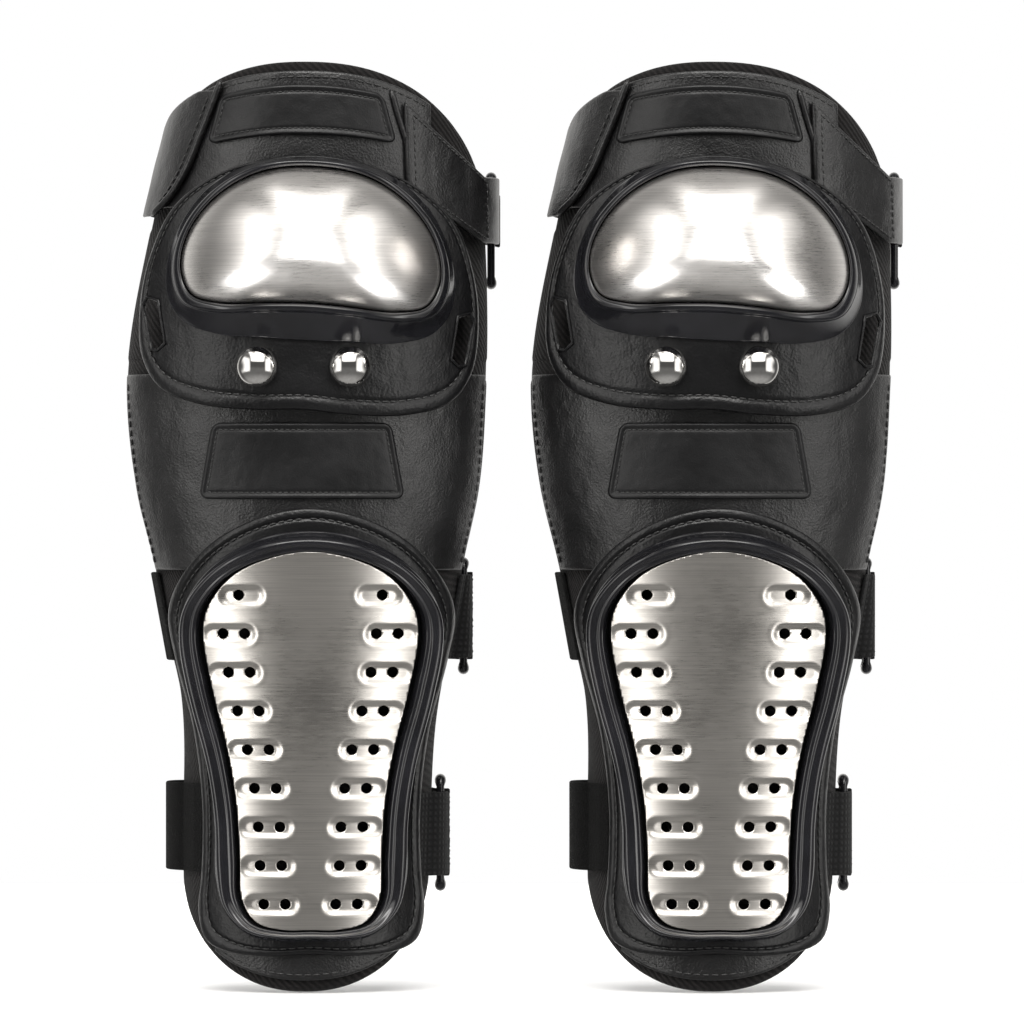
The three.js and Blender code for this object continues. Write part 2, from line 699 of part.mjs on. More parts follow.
// The bezel's cross-section runs from the cup's rim over a rounded lip and down to the flange.
function kneeBezel() {
  const gap = layerGap;
  const rim = kneeEdge(cupHalf, cupHalfWidth + gap, cupTop + gap, cupBottom - gap, kneeSegments);
  const lip = kneeEdge(cupHalf, cupHalfWidth + bezelLipWidth, cupTop + bezelLipWidth * 0.8,
    cupBottom - bezelLipWidth, kneeSegments);
  const foot = kneeEdge(bezelHalf, bezelHalfWidth, bezelTop, bezelBottom, kneeSegments);
  const seat = (p) => flangeFront(p) + 2 * layerGap;
  const onRim = (p) => cupRimFront(p.x - kneeUnitCentre.x);
  const place = (points, depth) => points.map((p) => new THREE.Vector3(p.x, -depth(p), p.y));
  return loopSolid([
    place(rim, (p) => Math.max(onRim(p) - 3, seat(p) + 0.6)),
    place(rim, (p) => onRim(p) + bezelLip * 0.6),
    place(between(rim, lip, 0.5), (p) => onRim(p) + bezelLip),
    place(lip, (p) => Math.max(onRim(p) + bezelLip * 0.3, seat(p) + 2)),
    place(foot, (p) => seat(p) + 1),
    place(foot, seat),
    place(between(rim, foot, 0.35), seat),
  ]);
}

function kneeFoam() {
  const share = 0.7; // of the cup
  const back = sleeveDepth + panelOuter + 2;
  const clearance = steelThickness + 1.8;
  const edge = kneeEdge(cupHalf, cupHalfWidth, cupTop, cupBottom, 18);
  const centre = middleOf(edge);
  const loop = (part, depth) => edge.map((p) => {
    const at = centre.clone().lerp(p, part * share);
    return new THREE.Vector3(at.x, -depth(at, part), at.y);
  });
  const front = (p, part) => Math.max(cupFront(p, part * share) - clearance, back + 2);
  return loopSolid(
    [loop(0.5, front), loop(1, front), loop(1, () => back)],
    [new THREE.Vector3(centre.x, -front(centre, 0), centre.y), new THREE.Vector3(centre.x, -back, centre.y)],
  );
}

// A domed rivet: a ball-shaped head, a shank through the flange and a tail spread behind it.
function rivet(place) {
  const sag = rivetHeadRadius ** 2 / (2 * flangeRoll); // the flange falls away under the flat of the head
  const back = flangeThickness + sag + 2 * softGap;
  const headHeight = rivetHeadRadius * 1.05;
  const domeSteps = 4;
  const dome = Array.from({ length: domeSteps + 1 }, (_, k) => {
    const turn = (Math.PI * 0.56 * k) / domeSteps;
    const drop = rivetHeadRadius * (1 - Math.cos(turn));
    return new THREE.Vector2(rivetHeadRadius * Math.sin(turn), headHeight - drop);
  });
  const end = -back - rivetTailThickness;
  const foot = [[rivetHeadRadius * 0.85, 0], [rivetShankRadius, 0], [rivetShankRadius, -back],
    [rivetTailRadius, -back], [rivetTailRadius * 0.8, end], [0, end]]
    .map(([x, y]) => new THREE.Vector2(x, y));
  const headSides = 12;
  const geometry = new THREE.LatheGeometry([...dome, ...foot].reverse(), headSides);
  return standOn(geometry, flangeFront, place, sag + softGap);
}

// ---------------------------------------------------------------- shin unit

const shinFlangeBottom = shinBottom + shinFlangeMargin;
const shinFrameTop = shinFlangeTop - shinFrameInset;
const shinFrameBottom = shinFlangeBottom + shinFrameInset * 0.7;
const shinPlateTop = shinFlangeTop - shinPlateInset;
const shinPlateBottom = shinFlangeBottom + shinPlateFootInset;
const shinSegments = 30;

const shinEdge = (half, halfWidth, top, bottom, count) =>
  outline(half, halfWidth, top, bottom, count).map((p) => p.add(new THREE.Vector2(shinUnitShift, 0)));

function shinFlangeFront(p) {
  const halfWidth = sleeveHalfWidth(p.x, p.y) + shinFlangeSideStandoff;
  return ellipseDepth(p.x - sleeveShift(p.y), halfWidth, sleeveDepthAt(p.y) + shinFlangeStandoff);
}

function shinFlange() {
  const inset = 5;
  const edge = shinEdge(shinFlangeHalf, shinFlangeHalfWidth, shinFlangeTop, shinFlangeBottom, shinSegments);
  const hole = shinEdge(shinPlateHalf, shinPlateHalfWidth - inset, shinPlateTop - inset,
    shinPlateBottom + inset, shinSegments);
  return rolledRing(hole, edge, shinFlangeFront, flangeThickness);
}

function shinFrame() {
  const foot = shinEdge(shinFrameHalf, shinFrameHalfWidth, shinFrameTop, shinFrameBottom, shinSegments);
  const rim = shinEdge(shinPlateHalf, shinPlateHalfWidth + layerGap, shinPlateTop + layerGap,
    shinPlateBottom - layerGap, shinSegments);
  const seat = 3 * layerGap;
  const loop = (share, rise) => between(rim, foot, share).map((p) => standOff(shinFlangeFront, p, rise));
  return loopSolid([
    loop(0, seat),
    loop(0, shinPlateRise + 0.5),
    loop(0.35, shinFrameRise),
    loop(0.75, shinFrameRise * 0.55),
    loop(1, seat + 1),
    loop(1, seat),
  ]);
}

const plateFront = (p) => shinFlangeFront(p) + shinPlateRise;

// Rows of holes, two on each side of the middle, following the plate's waist.
// The top row has one hole on each side.
function plateHoles() {
  const edge = shinEdge(shinPlateHalf, shinPlateHalfWidth, shinPlateTop, shinPlateBottom, 160);
  const topRow = shinPlateTop - 18.5;
  const bottomRow = shinPlateBottom + 11;
  const margin = 8.5; // from the plate's edge to the outer hole
  const holes = [];
  for (let row = 0; row < plateRows; row += 1) {
    const z = THREE.MathUtils.lerp(topRow, bottomRow, row / (plateRows - 1));
    const nearest = (a, b) => Math.abs(a.y - z) - Math.abs(b.y - z);
    const side = edge.filter((p) => p.x > shinUnitShift).sort(nearest)[0];
    const outer = side.x - shinUnitShift - margin;
    const reach = row === 0 ? [outer - plateTopHoleInset] : [outer, outer - plateHolePitch];
    for (const x of reach) {
      holes.push(new THREE.Vector2(shinUnitShift + x, z), new THREE.Vector2(shinUnitShift - x, z));
    }
  }
  return holes;
}

function shinPlate() {
  const edge = shinEdge(shinPlateHalf, shinPlateHalfWidth, shinPlateTop, shinPlateBottom, shinSegments);
  const plate = rolledPlate(edge, [0.35, 0.7, 1], plateFront, steelThickness);
  const tools = plateHoles().map((place) => standOn(
    new THREE.CylinderGeometry(plateHoleRadius, plateHoleRadius, 6 * steelThickness, plateHoleSides),
    plateFront,
    place,
    0,
  ));
  return cut(plate, tools);
}

// ---------------------------------------------------------------- strap routes

// Where each strap is sewn (angles round the leg), how it swings out, and how it slopes down to its buckle.
// Where it swings out, its upper edge lies wider than its middle by the taper times its height above it.
const strapRoutes = {
  thigh: {
    sewn: [-84, -90],
    swing: { x: thighBendHalfWidth - 3, taper: -0.2, lead: 4, y: 8, corner: 42 },
    slope: -0.17,
    buckle: buckles.thigh,
  },
  middle: {
    sewn: [-72, -75, -84],
    swing: { x: (kneeHalfWidth + shinHalfWidth) / 2 - 3.5, taper: 0.18, lead: -4, y: 6, corner: 40 },
    slope: 0,
    buckle: buckles.middle,
  },
  lower: {
    sewn: [-52, -60, -72],
    swing: { x: shinHalfWidth + 5, taper: 0, lead: -10, y: 4, corner: 40 },
    slope: -0.03,
    buckle: buckles.lower,
  },
};
const tabAngles = { middle: [75, 84], lower: [56, 60, 72] };

// ---------------------------------------------------------------- materials and assembly

const steel = (color) => new THREE.MeshStandardMaterial({ color, metalness: 1, roughness: 0.32 });
const chrome = () => new THREE.MeshStandardMaterial({ color: 0xe6e4e0, metalness: 1, roughness: 0.08 });
const glossPlastic = () => new THREE.MeshStandardMaterial({ color: 0x0a0a0c, metalness: 0, roughness: 0.15 });
const satinPlastic = () => new THREE.MeshStandardMaterial({ color: 0x17171a, metalness: 0, roughness: 0.42 });
const leather = () => new THREE.MeshStandardMaterial({ color: 0x151517, metalness: 0, roughness: 0.52 });
const rubber = () => new THREE.MeshStandardMaterial({ color: 0x1b1b1e, metalness: 0, roughness: 0.6 });
const fabric = () => new THREE.MeshStandardMaterial({ color: 0x1a1616, metalness: 0, roughness: 0.95 });
const webbing = () => new THREE.MeshStandardMaterial({ color: 0x161618, metalness: 0, roughness: 0.9 });
const foam = () => new THREE.MeshStandardMaterial({ color: 0x2a2a2c, metalness: 0, roughness: 0.98 });

function guard(side) {
  const group = new THREE.Group();
  const add = (name, geometry, material) => {
    const mesh = new THREE.Mesh(geometry, material);
    mesh.name = `${side}_${name}`;
    group.add(mesh);
  };

  add('thigh_lining', thighLining(), fabric());
  add('thigh_panel', thighPanel(), leather());
  add('thigh_label', labelPatch({
    bottomHalf: 41, topHalf: 35, bottom: thighTop - 31.4, top: thighTop - 10, bow: 4, shift: -1,
  }), rubber());
  add('inner_side_panel', innerSidePanel(), leather());
  add('buckle_side_panel', buckleSidePanel(), leather());

  add('knee_lining', kneeLining(), fabric());
  add('knee_flange', kneeFlange(), satinPlastic());
  add('knee_bezel', kneeBezel(), glossPlastic());
  add('knee_cup', kneeCup(), steel(0xcfcac4));
  add('knee_foam', kneeFoam(), foam());
  rivetPlaces.forEach((place, i) => add(`knee_rivet_${i + 1}`, rivet(place), chrome()));

  add('shin_lining', shinLining(), fabric());
  add('middle_panel', middlePanel(), leather());
  add('middle_label', labelPatch({
    bottomHalf: 44.3, topHalf: 38.5, bottom: -55.5, top: -22.8, bow: 0, shift: -1,
  }), rubber());
  add('foot_panel', footPanel(), leather());
  add('shin_flange', shinFlange(), satinPlastic());
  add('shin_frame', shinFrame(), glossPlastic());
  add('shin_plate', shinPlate(), steel(0xbdb8b2));

  for (const [place, route] of Object.entries(strapRoutes)) {
    add(`${place}_strap`, strap(route), webbing());
    add(`${place}_strap_tongue`, tongue(route), webbing());
    add(`${place}_buckle`, buckleLoop(route.buckle), glossPlastic());
    if (tabAngles[place]) add(`${place}_buckle_tab`, buckleTab(route.buckle, tabAngles[place]), webbing());
  }
  return group;
}

const pair = new THREE.Group();
for (const [side, sign] of [['left', -1], ['right', 1]]) {
  const made = guard(side);
  made.position.x = (sign * guardSpacing) / 2;
  pair.add(made);
}

export default pair;
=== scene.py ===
"""Looks for a pair of steel-faced knee and shin guards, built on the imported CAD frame."""

import math

import bmesh
import bpy
import numpy as np
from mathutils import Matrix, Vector, noise


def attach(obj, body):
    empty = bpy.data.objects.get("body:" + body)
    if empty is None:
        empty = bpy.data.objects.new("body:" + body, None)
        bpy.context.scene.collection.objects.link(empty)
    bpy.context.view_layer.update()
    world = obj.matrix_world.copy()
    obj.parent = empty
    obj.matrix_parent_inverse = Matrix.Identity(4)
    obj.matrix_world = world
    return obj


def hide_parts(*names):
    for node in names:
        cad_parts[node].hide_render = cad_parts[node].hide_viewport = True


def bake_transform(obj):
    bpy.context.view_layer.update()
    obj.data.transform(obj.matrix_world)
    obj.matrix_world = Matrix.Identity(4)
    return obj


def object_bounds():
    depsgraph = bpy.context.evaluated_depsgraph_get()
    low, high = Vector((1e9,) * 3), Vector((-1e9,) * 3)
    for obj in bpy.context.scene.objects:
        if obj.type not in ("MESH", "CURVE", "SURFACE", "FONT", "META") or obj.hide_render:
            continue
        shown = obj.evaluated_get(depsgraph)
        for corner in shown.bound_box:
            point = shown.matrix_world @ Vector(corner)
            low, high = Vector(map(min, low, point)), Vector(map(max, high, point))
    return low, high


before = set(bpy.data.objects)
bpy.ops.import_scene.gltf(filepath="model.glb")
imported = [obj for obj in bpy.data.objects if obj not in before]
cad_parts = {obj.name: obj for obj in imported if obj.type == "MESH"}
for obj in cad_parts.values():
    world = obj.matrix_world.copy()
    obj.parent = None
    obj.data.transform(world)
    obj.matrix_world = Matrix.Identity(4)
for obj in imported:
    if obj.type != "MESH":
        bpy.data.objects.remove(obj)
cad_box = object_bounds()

SIDES = {"left": -87.4, "right": 87.4}  # centre lines of the two guards, in mm

# ---------------------------------------------------------------- dimensions, in mm, as in the CAD model

THIGH_TOP = 132.0
SHIN_BOTTOM = -267.0
THIGH_BEND = 66.0
KNEE_HALF = 78.0
THIGH_INNER_HALF = 50.0
THIGH_BEND_HALF = 66.5
SHIN_HALF = 55.0
SHIN_SHIFT = 2.0
SLEEVE_DEPTH, THIGH_DEPTH, FOOT_DEPTH = 58.0, 55.0, 44.0
RIM_DROP_BUCKLE, RIM_DROP_INNER, FOOT_RISE = 58.0, 24.0, 47.0
LINING = 6.0
LEATHER = 1.6
STEEL = 1.4
KNEE_FOOT, ANKLE = -10.0, -138.0
FOOT_START = (ANKLE + SHIN_BOTTOM) / 2
PANEL_IN = 0.7
PANEL_OUT = PANEL_IN + LEATHER
SIDE_IN = PANEL_OUT + 0.7

UNIT_X, UNIT_Z, UNIT_LEAN = 2.6, 36.0, math.radians(-3)
SHIN_X = 2.8


def smooth_table(table, z):
    """Reads [height, value] rows, listed downwards, with a smooth curve through them."""
    zs = np.array([row[0] for row in table])[::-1]
    vs = np.array([row[1] for row in table])[::-1]
    slopes = np.gradient(vs, zs)
    z = np.clip(z, zs[0], zs[-1])
    i = np.clip(np.searchsorted(zs, z) - 1, 0, len(zs) - 2)
    h = zs[i + 1] - zs[i]
    t = (z - zs[i]) / h
    return (
        vs[i] * (1 + 2 * t) * (1 - t) ** 2
        + slopes[i] * h * t * (1 - t) ** 2
        + vs[i + 1] * t * t * (3 - 2 * t)
        + slopes[i + 1] * h * t * t * (t - 1)
    )


# rows of height and half width, listed downwards
LOWER = [(KNEE_FOOT, KNEE_HALF), (-50, KNEE_HALF - 3.5), (-86, (KNEE_HALF + SHIN_HALF) / 2),
         (-112, SHIN_HALF + 7), (ANKLE, SHIN_HALF + 1.5), (FOOT_START, SHIN_HALF - 1.5),
         (SHIN_BOTTOM, SHIN_HALF - 2.5)]
INNER = [(THIGH_TOP, THIGH_INNER_HALF), (THIGH_BEND, THIGH_BEND_HALF)] + LOWER
BUCKLE = [(THIGH_TOP, KNEE_HALF - 4)] + LOWER


def half_width(side, z):
    """Half the sleeve's width at a height, on the inner side (side < 0) or the buckle side."""
    return np.where(np.asarray(side) < 0, smooth_table(INNER, z), smooth_table(BUCKLE, z))


def depth_at(z):
    z = np.asarray(z, float)
    up = SLEEVE_DEPTH + (THIGH_DEPTH - SLEEVE_DEPTH) * z / THIGH_TOP
    down = SLEEVE_DEPTH + (FOOT_DEPTH - SLEEVE_DEPTH) * z / SHIN_BOTTOM
    return np.where(z >= 0, up, down)


def shift_at(z):
    z = np.asarray(z, float)
    return SHIN_SHIFT * np.clip(np.minimum(z / ANKLE, (z - FOOT_START) / (ANKLE - FOOT_START)), 0, 1)


def sleeve(deg, z, offset, depth=None):
    """Points of the sleeve: deg is 0 in front and positive towards the buckles."""
    deg, z, offset = np.broadcast_arrays(*(np.asarray(value, float) for value in (deg, z, offset)))
    a = np.radians(deg)
    d = depth_at(z) if depth is None else depth
    x = shift_at(z) + (half_width(deg, z) + offset) * np.sin(a)
    return np.stack([x, -(d + offset) * np.cos(a), z], -1)


def fall(deg):
    return 1 - np.cos(np.radians(deg))


def top_rim(deg):
    return THIGH_TOP - np.where(np.asarray(deg) < 0, RIM_DROP_INNER, RIM_DROP_BUCKLE) * fall(deg) ** 1.15


def bottom_rim(deg):
    return SHIN_BOTTOM + FOOT_RISE * fall(deg) ** 1.1


def ellipse_depth(x, half, depth):
    return depth * np.sqrt(np.clip(1 - (x / half) ** 2, 0, 1))


# ---------------------------------------------------------------- outlines, seen from the front

# right-hand halves, as shares of the half width and of the height
CUP = [(0, 1), (0.38, 0.955), (0.68, 0.81), (0.89, 0.6), (0.99, 0.38), (0.99, 0.2), (0.9, 0.05),
       (0.68, 0), (0.3, 0.02), (0, 0.03)]
BEZEL = [(0, 1), (0.38, 0.965), (0.7, 0.835), (0.91, 0.61), (1, 0.36), (0.98, 0.2), (0.86, 0.07),
         (0.62, 0.01), (0.3, 0), (0, 0)]
FLANGE = [(0, 1), (0.3, 0.975), (0.6, 0.9), (0.83, 0.77), (0.96, 0.56), (1, 0.36), (0.97, 0.18),
          (0.86, 0.07), (0.62, 0.012), (0.3, 0), (0, 0.01)]
SHIN_FLANGE = [(0, 1), (0.35, 0.98), (0.68, 0.925), (0.9, 0.85), (1, 0.77), (0.95, 0.66), (0.82, 0.5),
               (0.76, 0.33), (0.77, 0.17), (0.79, 0.1), (0.74, 0.035), (0.6, 0.01), (0.3, 0), (0, 0.005)]
SHIN_FRAME = [(0, 1), (0.4, 0.98), (0.75, 0.915), (0.96, 0.82), (0.99, 0.74), (0.9, 0.58), (0.78, 0.42),
              (0.73, 0.28), (0.72, 0.15), (0.64, 0.065), (0.45, 0.012), (0.22, 0), (0, 0)]
SHIN_PLATE = [(0, 1), (0.4, 0.98), (0.74, 0.93), (0.95, 0.85), (0.99, 0.78), (0.9, 0.63), (0.76, 0.47),
              (0.68, 0.33), (0.65, 0.19), (0.63, 0.08), (0.5, 0.02), (0.25, 0), (0, 0)]


def closed_curve(points, count):
    """A smooth closed curve through points, as evenly spaced (x, z) pairs from its first point."""
    p = np.asarray(points, float)
    dense = []
    n = len(p)
    steps = 24
    for i in range(n):
        p0, p1, p2, p3 = (p[(i + k - 1) % n] for k in range(4))
        t0 = 0.0
        t1 = t0 + max(np.linalg.norm(p1 - p0), 1e-6) ** 0.5
        t2 = t1 + max(np.linalg.norm(p2 - p1), 1e-6) ** 0.5
        t3 = t2 + max(np.linalg.norm(p3 - p2), 1e-6) ** 0.5
        t = np.linspace(t1, t2, steps, endpoint=False)[:, None]
        a1 = (t1 - t) / (t1 - t0) * p0 + (t - t0) / (t1 - t0) * p1
        a2 = (t2 - t) / (t2 - t1) * p1 + (t - t1) / (t2 - t1) * p2
        a3 = (t3 - t) / (t3 - t2) * p2 + (t - t2) / (t3 - t2) * p3
        b1 = (t2 - t) / (t2 - t0) * a1 + (t - t0) / (t2 - t0) * a2
        b2 = (t3 - t) / (t3 - t1) * a2 + (t - t1) / (t3 - t1) * a3
        dense.append((t2 - t) / (t2 - t1) * b1 + (t - t1) / (t2 - t1) * b2)
    dense = np.concatenate(dense)
    loop = np.vstack([dense, dense[:1]])
    run = np.concatenate([[0], np.cumsum(np.linalg.norm(np.diff(loop, axis=0), axis=1))])
    at = np.linspace(0, run[-1], count, endpoint=False)
    return np.stack([np.interp(at, run, loop[:, k]) for k in range(2)], -1)


def outline(half, half_width_mm, top, bottom, count=168):
    right = [(u * half_width_mm, bottom + v * (top - bottom)) for u, v in half]
    left = [(-x, z) for x, z in right[-2:0:-1]]
    return closed_curve(right + left, count)


def knee_outline(half, half_width_mm, top, bottom, count=168):
    p = outline(half, half_width_mm, top, bottom, count)
    c, s = math.cos(UNIT_LEAN), math.sin(UNIT_LEAN)
    x, z = p[:, 0], p[:, 1] - UNIT_Z
    return np.stack([c * x - s * z + UNIT_X, s * x + c * z + UNIT_Z], -1)


def shin_outline(half, half_width_mm, top, bottom, count=200):
    return outline(half, half_width_mm, top, bottom, count) + np.array([SHIN_X, 0])


def middle(p):
    return (p.min(0) + p.max(0)) / 2


# ---------------------------------------------------------------- faces that the units follow

def flange_front(p):
    swell = np.cos((p[..., 1] - 45) / 90 * (math.pi / 2))
    return ellipse_depth(p[..., 0], 84.0, 70.0) - 5 * (1 - np.clip(swell, 0, None))


def cup_rim_front(p):
    return 31.0 + ellipse_depth(p[..., 0] - UNIT_X, 67.0, 48.0)


def shin_front(p):
    half = half_width(p[..., 0], p[..., 1]) + 5.8
    return ellipse_depth(p[..., 0] - shift_at(p[..., 1]), half, depth_at(p[..., 1]) + 5.6)


def stand_off(front, p, distance):
    """Points that stand off a face along its normal."""
    p = np.asarray(p, float)
    step = 0.5
    dx = (front(p + [step, 0]) - front(p - [step, 0])) / (2 * step)
    dz = (front(p + [0, step]) - front(p - [0, step])) / (2 * step)
    n = np.stack([-dx, -np.ones_like(dx), -dz], -1)
    n /= np.linalg.norm(n, axis=-1, keepdims=True)
    at = np.stack([p[..., 0], -front(p), p[..., 1]], -1)
    return at + n * np.asarray(distance)[..., None] if np.ndim(distance) else at + n * distance


# ---------------------------------------------------------------- meshes

made = {}


def make(name, shape, look, body, stands_for=True, bend=None):
    """One piece on each guard. shape holds vertices in mm about the guard's centre line, faces and, for a
    sheet, flat coordinates.

    With stands_for it takes the place of the CAD node of its name. bend is (upper body, lower body, height in
    mm, half the height of the bend); given it, the piece is baked in place and left unattached, not bent.
    """
    verts, faces, *flat = shape
    made[name] = {}
    for side, centre in SIDES.items():
        mesh = bpy.data.meshes.new(f"{side}_{name}_mesh")
        at = (np.asarray(verts, float) + [centre, 0, 0]) / 1000.0
        mesh.from_pydata(at.tolist(), [], [list(map(int, f)) for f in faces])
        if flat:
            layer = mesh.uv_layers.new(name="UVMap")
            index = np.empty(len(mesh.loops), np.int32)
            mesh.loops.foreach_get("vertex_index", index)
            uvs = np.asarray(flat[0], float)[index] / 1000.0
            layer.data.foreach_set("uv", uvs.astype(np.float32).ravel())
        piece = bpy.data.objects.new(f"{side}_{name}_look", mesh)
        bpy.context.scene.collection.objects.link(piece)
        finish_mesh(mesh, weld=bool(flat))
        mesh.materials.append(MATERIALS[look])
        if bend:
            upper, lower, at_z, half = bend
            start, end = (0, 0, (at_z + half) / 1000), (0, 0, (at_z - half) / 1000)
            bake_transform(piece)
            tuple(start)
            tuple(end)
        else:
            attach(piece, f"{side}_{body}")
        if stands_for:
            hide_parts(f"{side}_{name}")
        made[name][side] = piece


def finish_mesh(mesh, weld):
    bm = bmesh.new()
    bm.from_mesh(mesh)
    if weld:
        bmesh.ops.remove_doubles(bm, verts=bm.verts, dist=1e-6)
    bmesh.ops.recalc_face_normals(bm, faces=bm.faces)
    for face in bm.faces:
        face.smooth = True
    bm.to_mesh(mesh)
    bm.free()


def grid_faces(rows, cols, start=0, wrap=False, flip=False):
    faces = []
    for i in range(rows - 1):
        for j in range(cols if wrap else cols - 1):
            k = (j + 1) % cols
            here = start + i * cols
            quad = [here + j, here + k, here + cols + k, here + cols + j]
            faces.append(quad[::-1] if flip else quad)
    return faces


def loops_mesh(loops, caps=False):
    """Closed loops joined in turn: a closed ring, or with caps a body closed at both ends."""
    loops = [np.asarray(loop) for loop in loops]
    count = len(loops[0])
    if not caps:
        loops = loops + [loops[0]]
    verts = np.concatenate(loops[:-1] if not caps else loops)
    total = len(loops)
    faces = []
    for i in range(total - 1):
        a, b = i * count, ((i + 1) % (total - 1) if not caps else i + 1) * count
        for j in range(count):
            k = (j + 1) % count
            faces.append([a + j, a + k, b + k, b + j])
    if caps:
        for base, loop in ((0, loops[0]), ((total - 1) * count, loops[-1])):
            verts = np.vstack([verts, loop.mean(0)])
            pole = len(verts) - 1
            faces += [[base + j, base + (j + 1) % count, pole] for j in range(count)]
    return verts, faces


def dense_loop(path, factor=4):
    """The same closed path with more points between its corners."""
    n = len(path)
    at = np.linspace(0, n, n * factor, endpoint=False)
    loop = np.vstack([path, path[:1]])
    return np.stack([np.interp(at, np.arange(n + 1), loop[:, k]) for k in range(path.shape[1])], -1)


def spaced(length, count, edge):
    """Shares from 0 to 1, closer together near both ends, over which an edge is rounded."""
    near = np.array([0, 0.08, 0.3, 0.65, 1.0]) * min(edge / length, 0.25)
    return np.concatenate([near, np.linspace(near[-1], 1 - near[-1], count)[1:-1], 1 - near[::-1]])


def lengths(points, axis):
    step = np.linalg.norm(np.diff(points, axis=axis), axis=-1)
    pad = [(0, 0), (0, 0)]
    pad[axis] = (1, 0)
    return np.cumsum(np.pad(step, pad), axis=axis)


def sheet_mesh(surface, rows, cols, low, high, edge=1.2, swell=None):
    """A closed sheet with rounded edges. surface(u, v, offset) gives its points, low and high its two faces."""
    u, v = np.meshgrid(cols, rows)
    mid = surface(u, v, np.full(u.shape, (low + high) / 2))
    along, across = lengths(mid, 1), lengths(mid, 0)
    d = np.minimum.reduce([along, along[:, -1:] - along, across, across[-1:] - across])
    r = np.clip(d / edge, 0, 1)
    half = (high - low) / 2 * np.sqrt(1 - (1 - r) ** 2)
    bump = swell(u, v, d) if swell else 0.0
    front = surface(u, v, (low + high) / 2 + half + bump)
    back = surface(u, v, (low + high) / 2 - half)
    verts = np.concatenate([front.reshape(-1, 3), back.reshape(-1, 3)])
    n_rows, n_cols = u.shape
    faces = grid_faces(n_rows, n_cols) + grid_faces(n_rows, n_cols, n_rows * n_cols, flip=True)
    centre = n_cols // 2
    flat = np.stack([along - along[:, centre:centre + 1], across], -1).reshape(-1, 2)
    return verts, faces, np.concatenate([flat, flat + [0, 400]])


def wrinkle(points, scale, amount):
    """Small smooth unevenness, the same on every run."""
    shape = points.shape[:-1]
    flat = points.reshape(-1, 3)
    out = np.array([noise.noise(Vector(p) * scale) for p in flat])
    return out.reshape(shape) * amount


def capsules(starts, ends, radius):
    """Short threads from each start to each end, as six-sided spindles."""
    verts, faces = [], []
    sides = 6
    for a, b in zip(starts, ends):
        along = b - a
        length = np.linalg.norm(along)
        if length < 1e-6:
            continue
        along = along / length
        other = np.array([0, 0, 1.0]) if abs(along[2]) < 0.9 else np.array([1.0, 0, 0])
        e1 = np.cross(along, other)
        e1 /= np.linalg.norm(e1)
        e2 = np.cross(along, e1)
        base = len(verts)
        for share, size in ((0, 0.35), (0.12, 0.85), (0.5, 1.0), (0.88, 0.85), (1, 0.35)):
            for k in range(sides):
                turn = 2 * math.pi * k / sides
                out = math.cos(turn) * e1 + math.sin(turn) * e2
                verts.append(a + along * length * share + radius * size * out)
        faces += grid_faces(5, sides, base, wrap=True)
        faces.append([base + k for k in range(sides)][::-1])
        faces.append([base + 4 * sides + k for k in range(sides)])
    return np.array(verts), faces


def along_curve(points, pitch, fill=0.72, closed=False):
    """Starts and ends of stitches laid along a curve of points."""
    p = np.asarray(points, float)
    if closed:
        p = np.vstack([p, p[:1]])
    run = np.concatenate([[0], np.cumsum(np.linalg.norm(np.diff(p, axis=0), axis=1))])
    count = max(1, int(run[-1] / pitch))
    step = run[-1] / count
    begin = np.arange(count) * step
    pick = lambda s: np.stack([np.interp(s, run, p[:, k]) for k in range(3)], -1)
    return pick(begin), pick(begin + step * fill)


def stitches(name, curves, body, pitch=3.8, radius=0.42):
    starts, ends = zip(*[along_curve(c, pitch) for c in curves])
    threads = capsules(np.concatenate(starts), np.concatenate(ends), radius)
    make(name, threads, "thread", body, stands_for=False)


# ---------------------------------------------------------------- materials

def nodes_of(name):
    material = bpy.data.materials.new(name)
    material.use_nodes = True
    tree = material.node_tree
    return material, tree, tree.nodes["Principled BSDF"]


def feed(node, inputs):
    """Links the sockets among the inputs and sets the rest on the node itself."""
    for key, value in inputs.items():
        if isinstance(value, bpy.types.NodeSocket):
            node.id_data.links.new(value, node.inputs[key])
        else:
            node.inputs[key].default_value = value


def add(tree, kind, inputs=None, **settings):
    node = tree.nodes.new(kind)
    for key, value in settings.items():
        setattr(node, key, value)
    feed(node, inputs or {})
    return node


def math_node(tree, operation, *values):
    return add(tree, "ShaderNodeMath", dict(enumerate(values)), operation=operation).outputs[0]


def coordinates(tree, scale=(1, 1, 1), kind="Object"):
    coords = add(tree, "ShaderNodeTexCoord")
    mapping = add(tree, "ShaderNodeMapping", {"Vector": coords.outputs[kind], "Scale": scale})
    return mapping.outputs["Vector"]


def ramp(tree, factor, *stops):
    """A colour ramp through (place, grey or colour) stops."""
    node = add(tree, "ShaderNodeValToRGB", {"Fac": factor})
    for element, (place, colour) in zip(node.color_ramp.elements, stops):
        element.position = place
        element.color = (*(colour if isinstance(colour, tuple) else [colour] * 3), 1)
    return node.outputs["Color"]


def bump(tree, height, strength, distance, after=None):
    inputs = {"Height": height, "Strength": strength, "Distance": distance}
    if after is not None:
        inputs["Normal"] = after
    return add(tree, "ShaderNodeBump", inputs).outputs["Normal"]


def noise_of(tree, vector, scale, detail=3.0, roughness=0.5):
    inputs = {"Vector": vector, "Scale": scale, "Detail": detail, "Roughness": roughness}
    return add(tree, "ShaderNodeTexNoise", inputs).outputs["Fac"]


def bands(tree, vector, scale, direction, distortion, detail_scale):
    inputs = {"Vector": vector, "Scale": scale, "Distortion": distortion, "Detail": 2.0,
              "Detail Scale": detail_scale}
    return add(tree, "ShaderNodeTexWave", inputs, wave_type="BANDS", bands_direction=direction).outputs["Fac"]


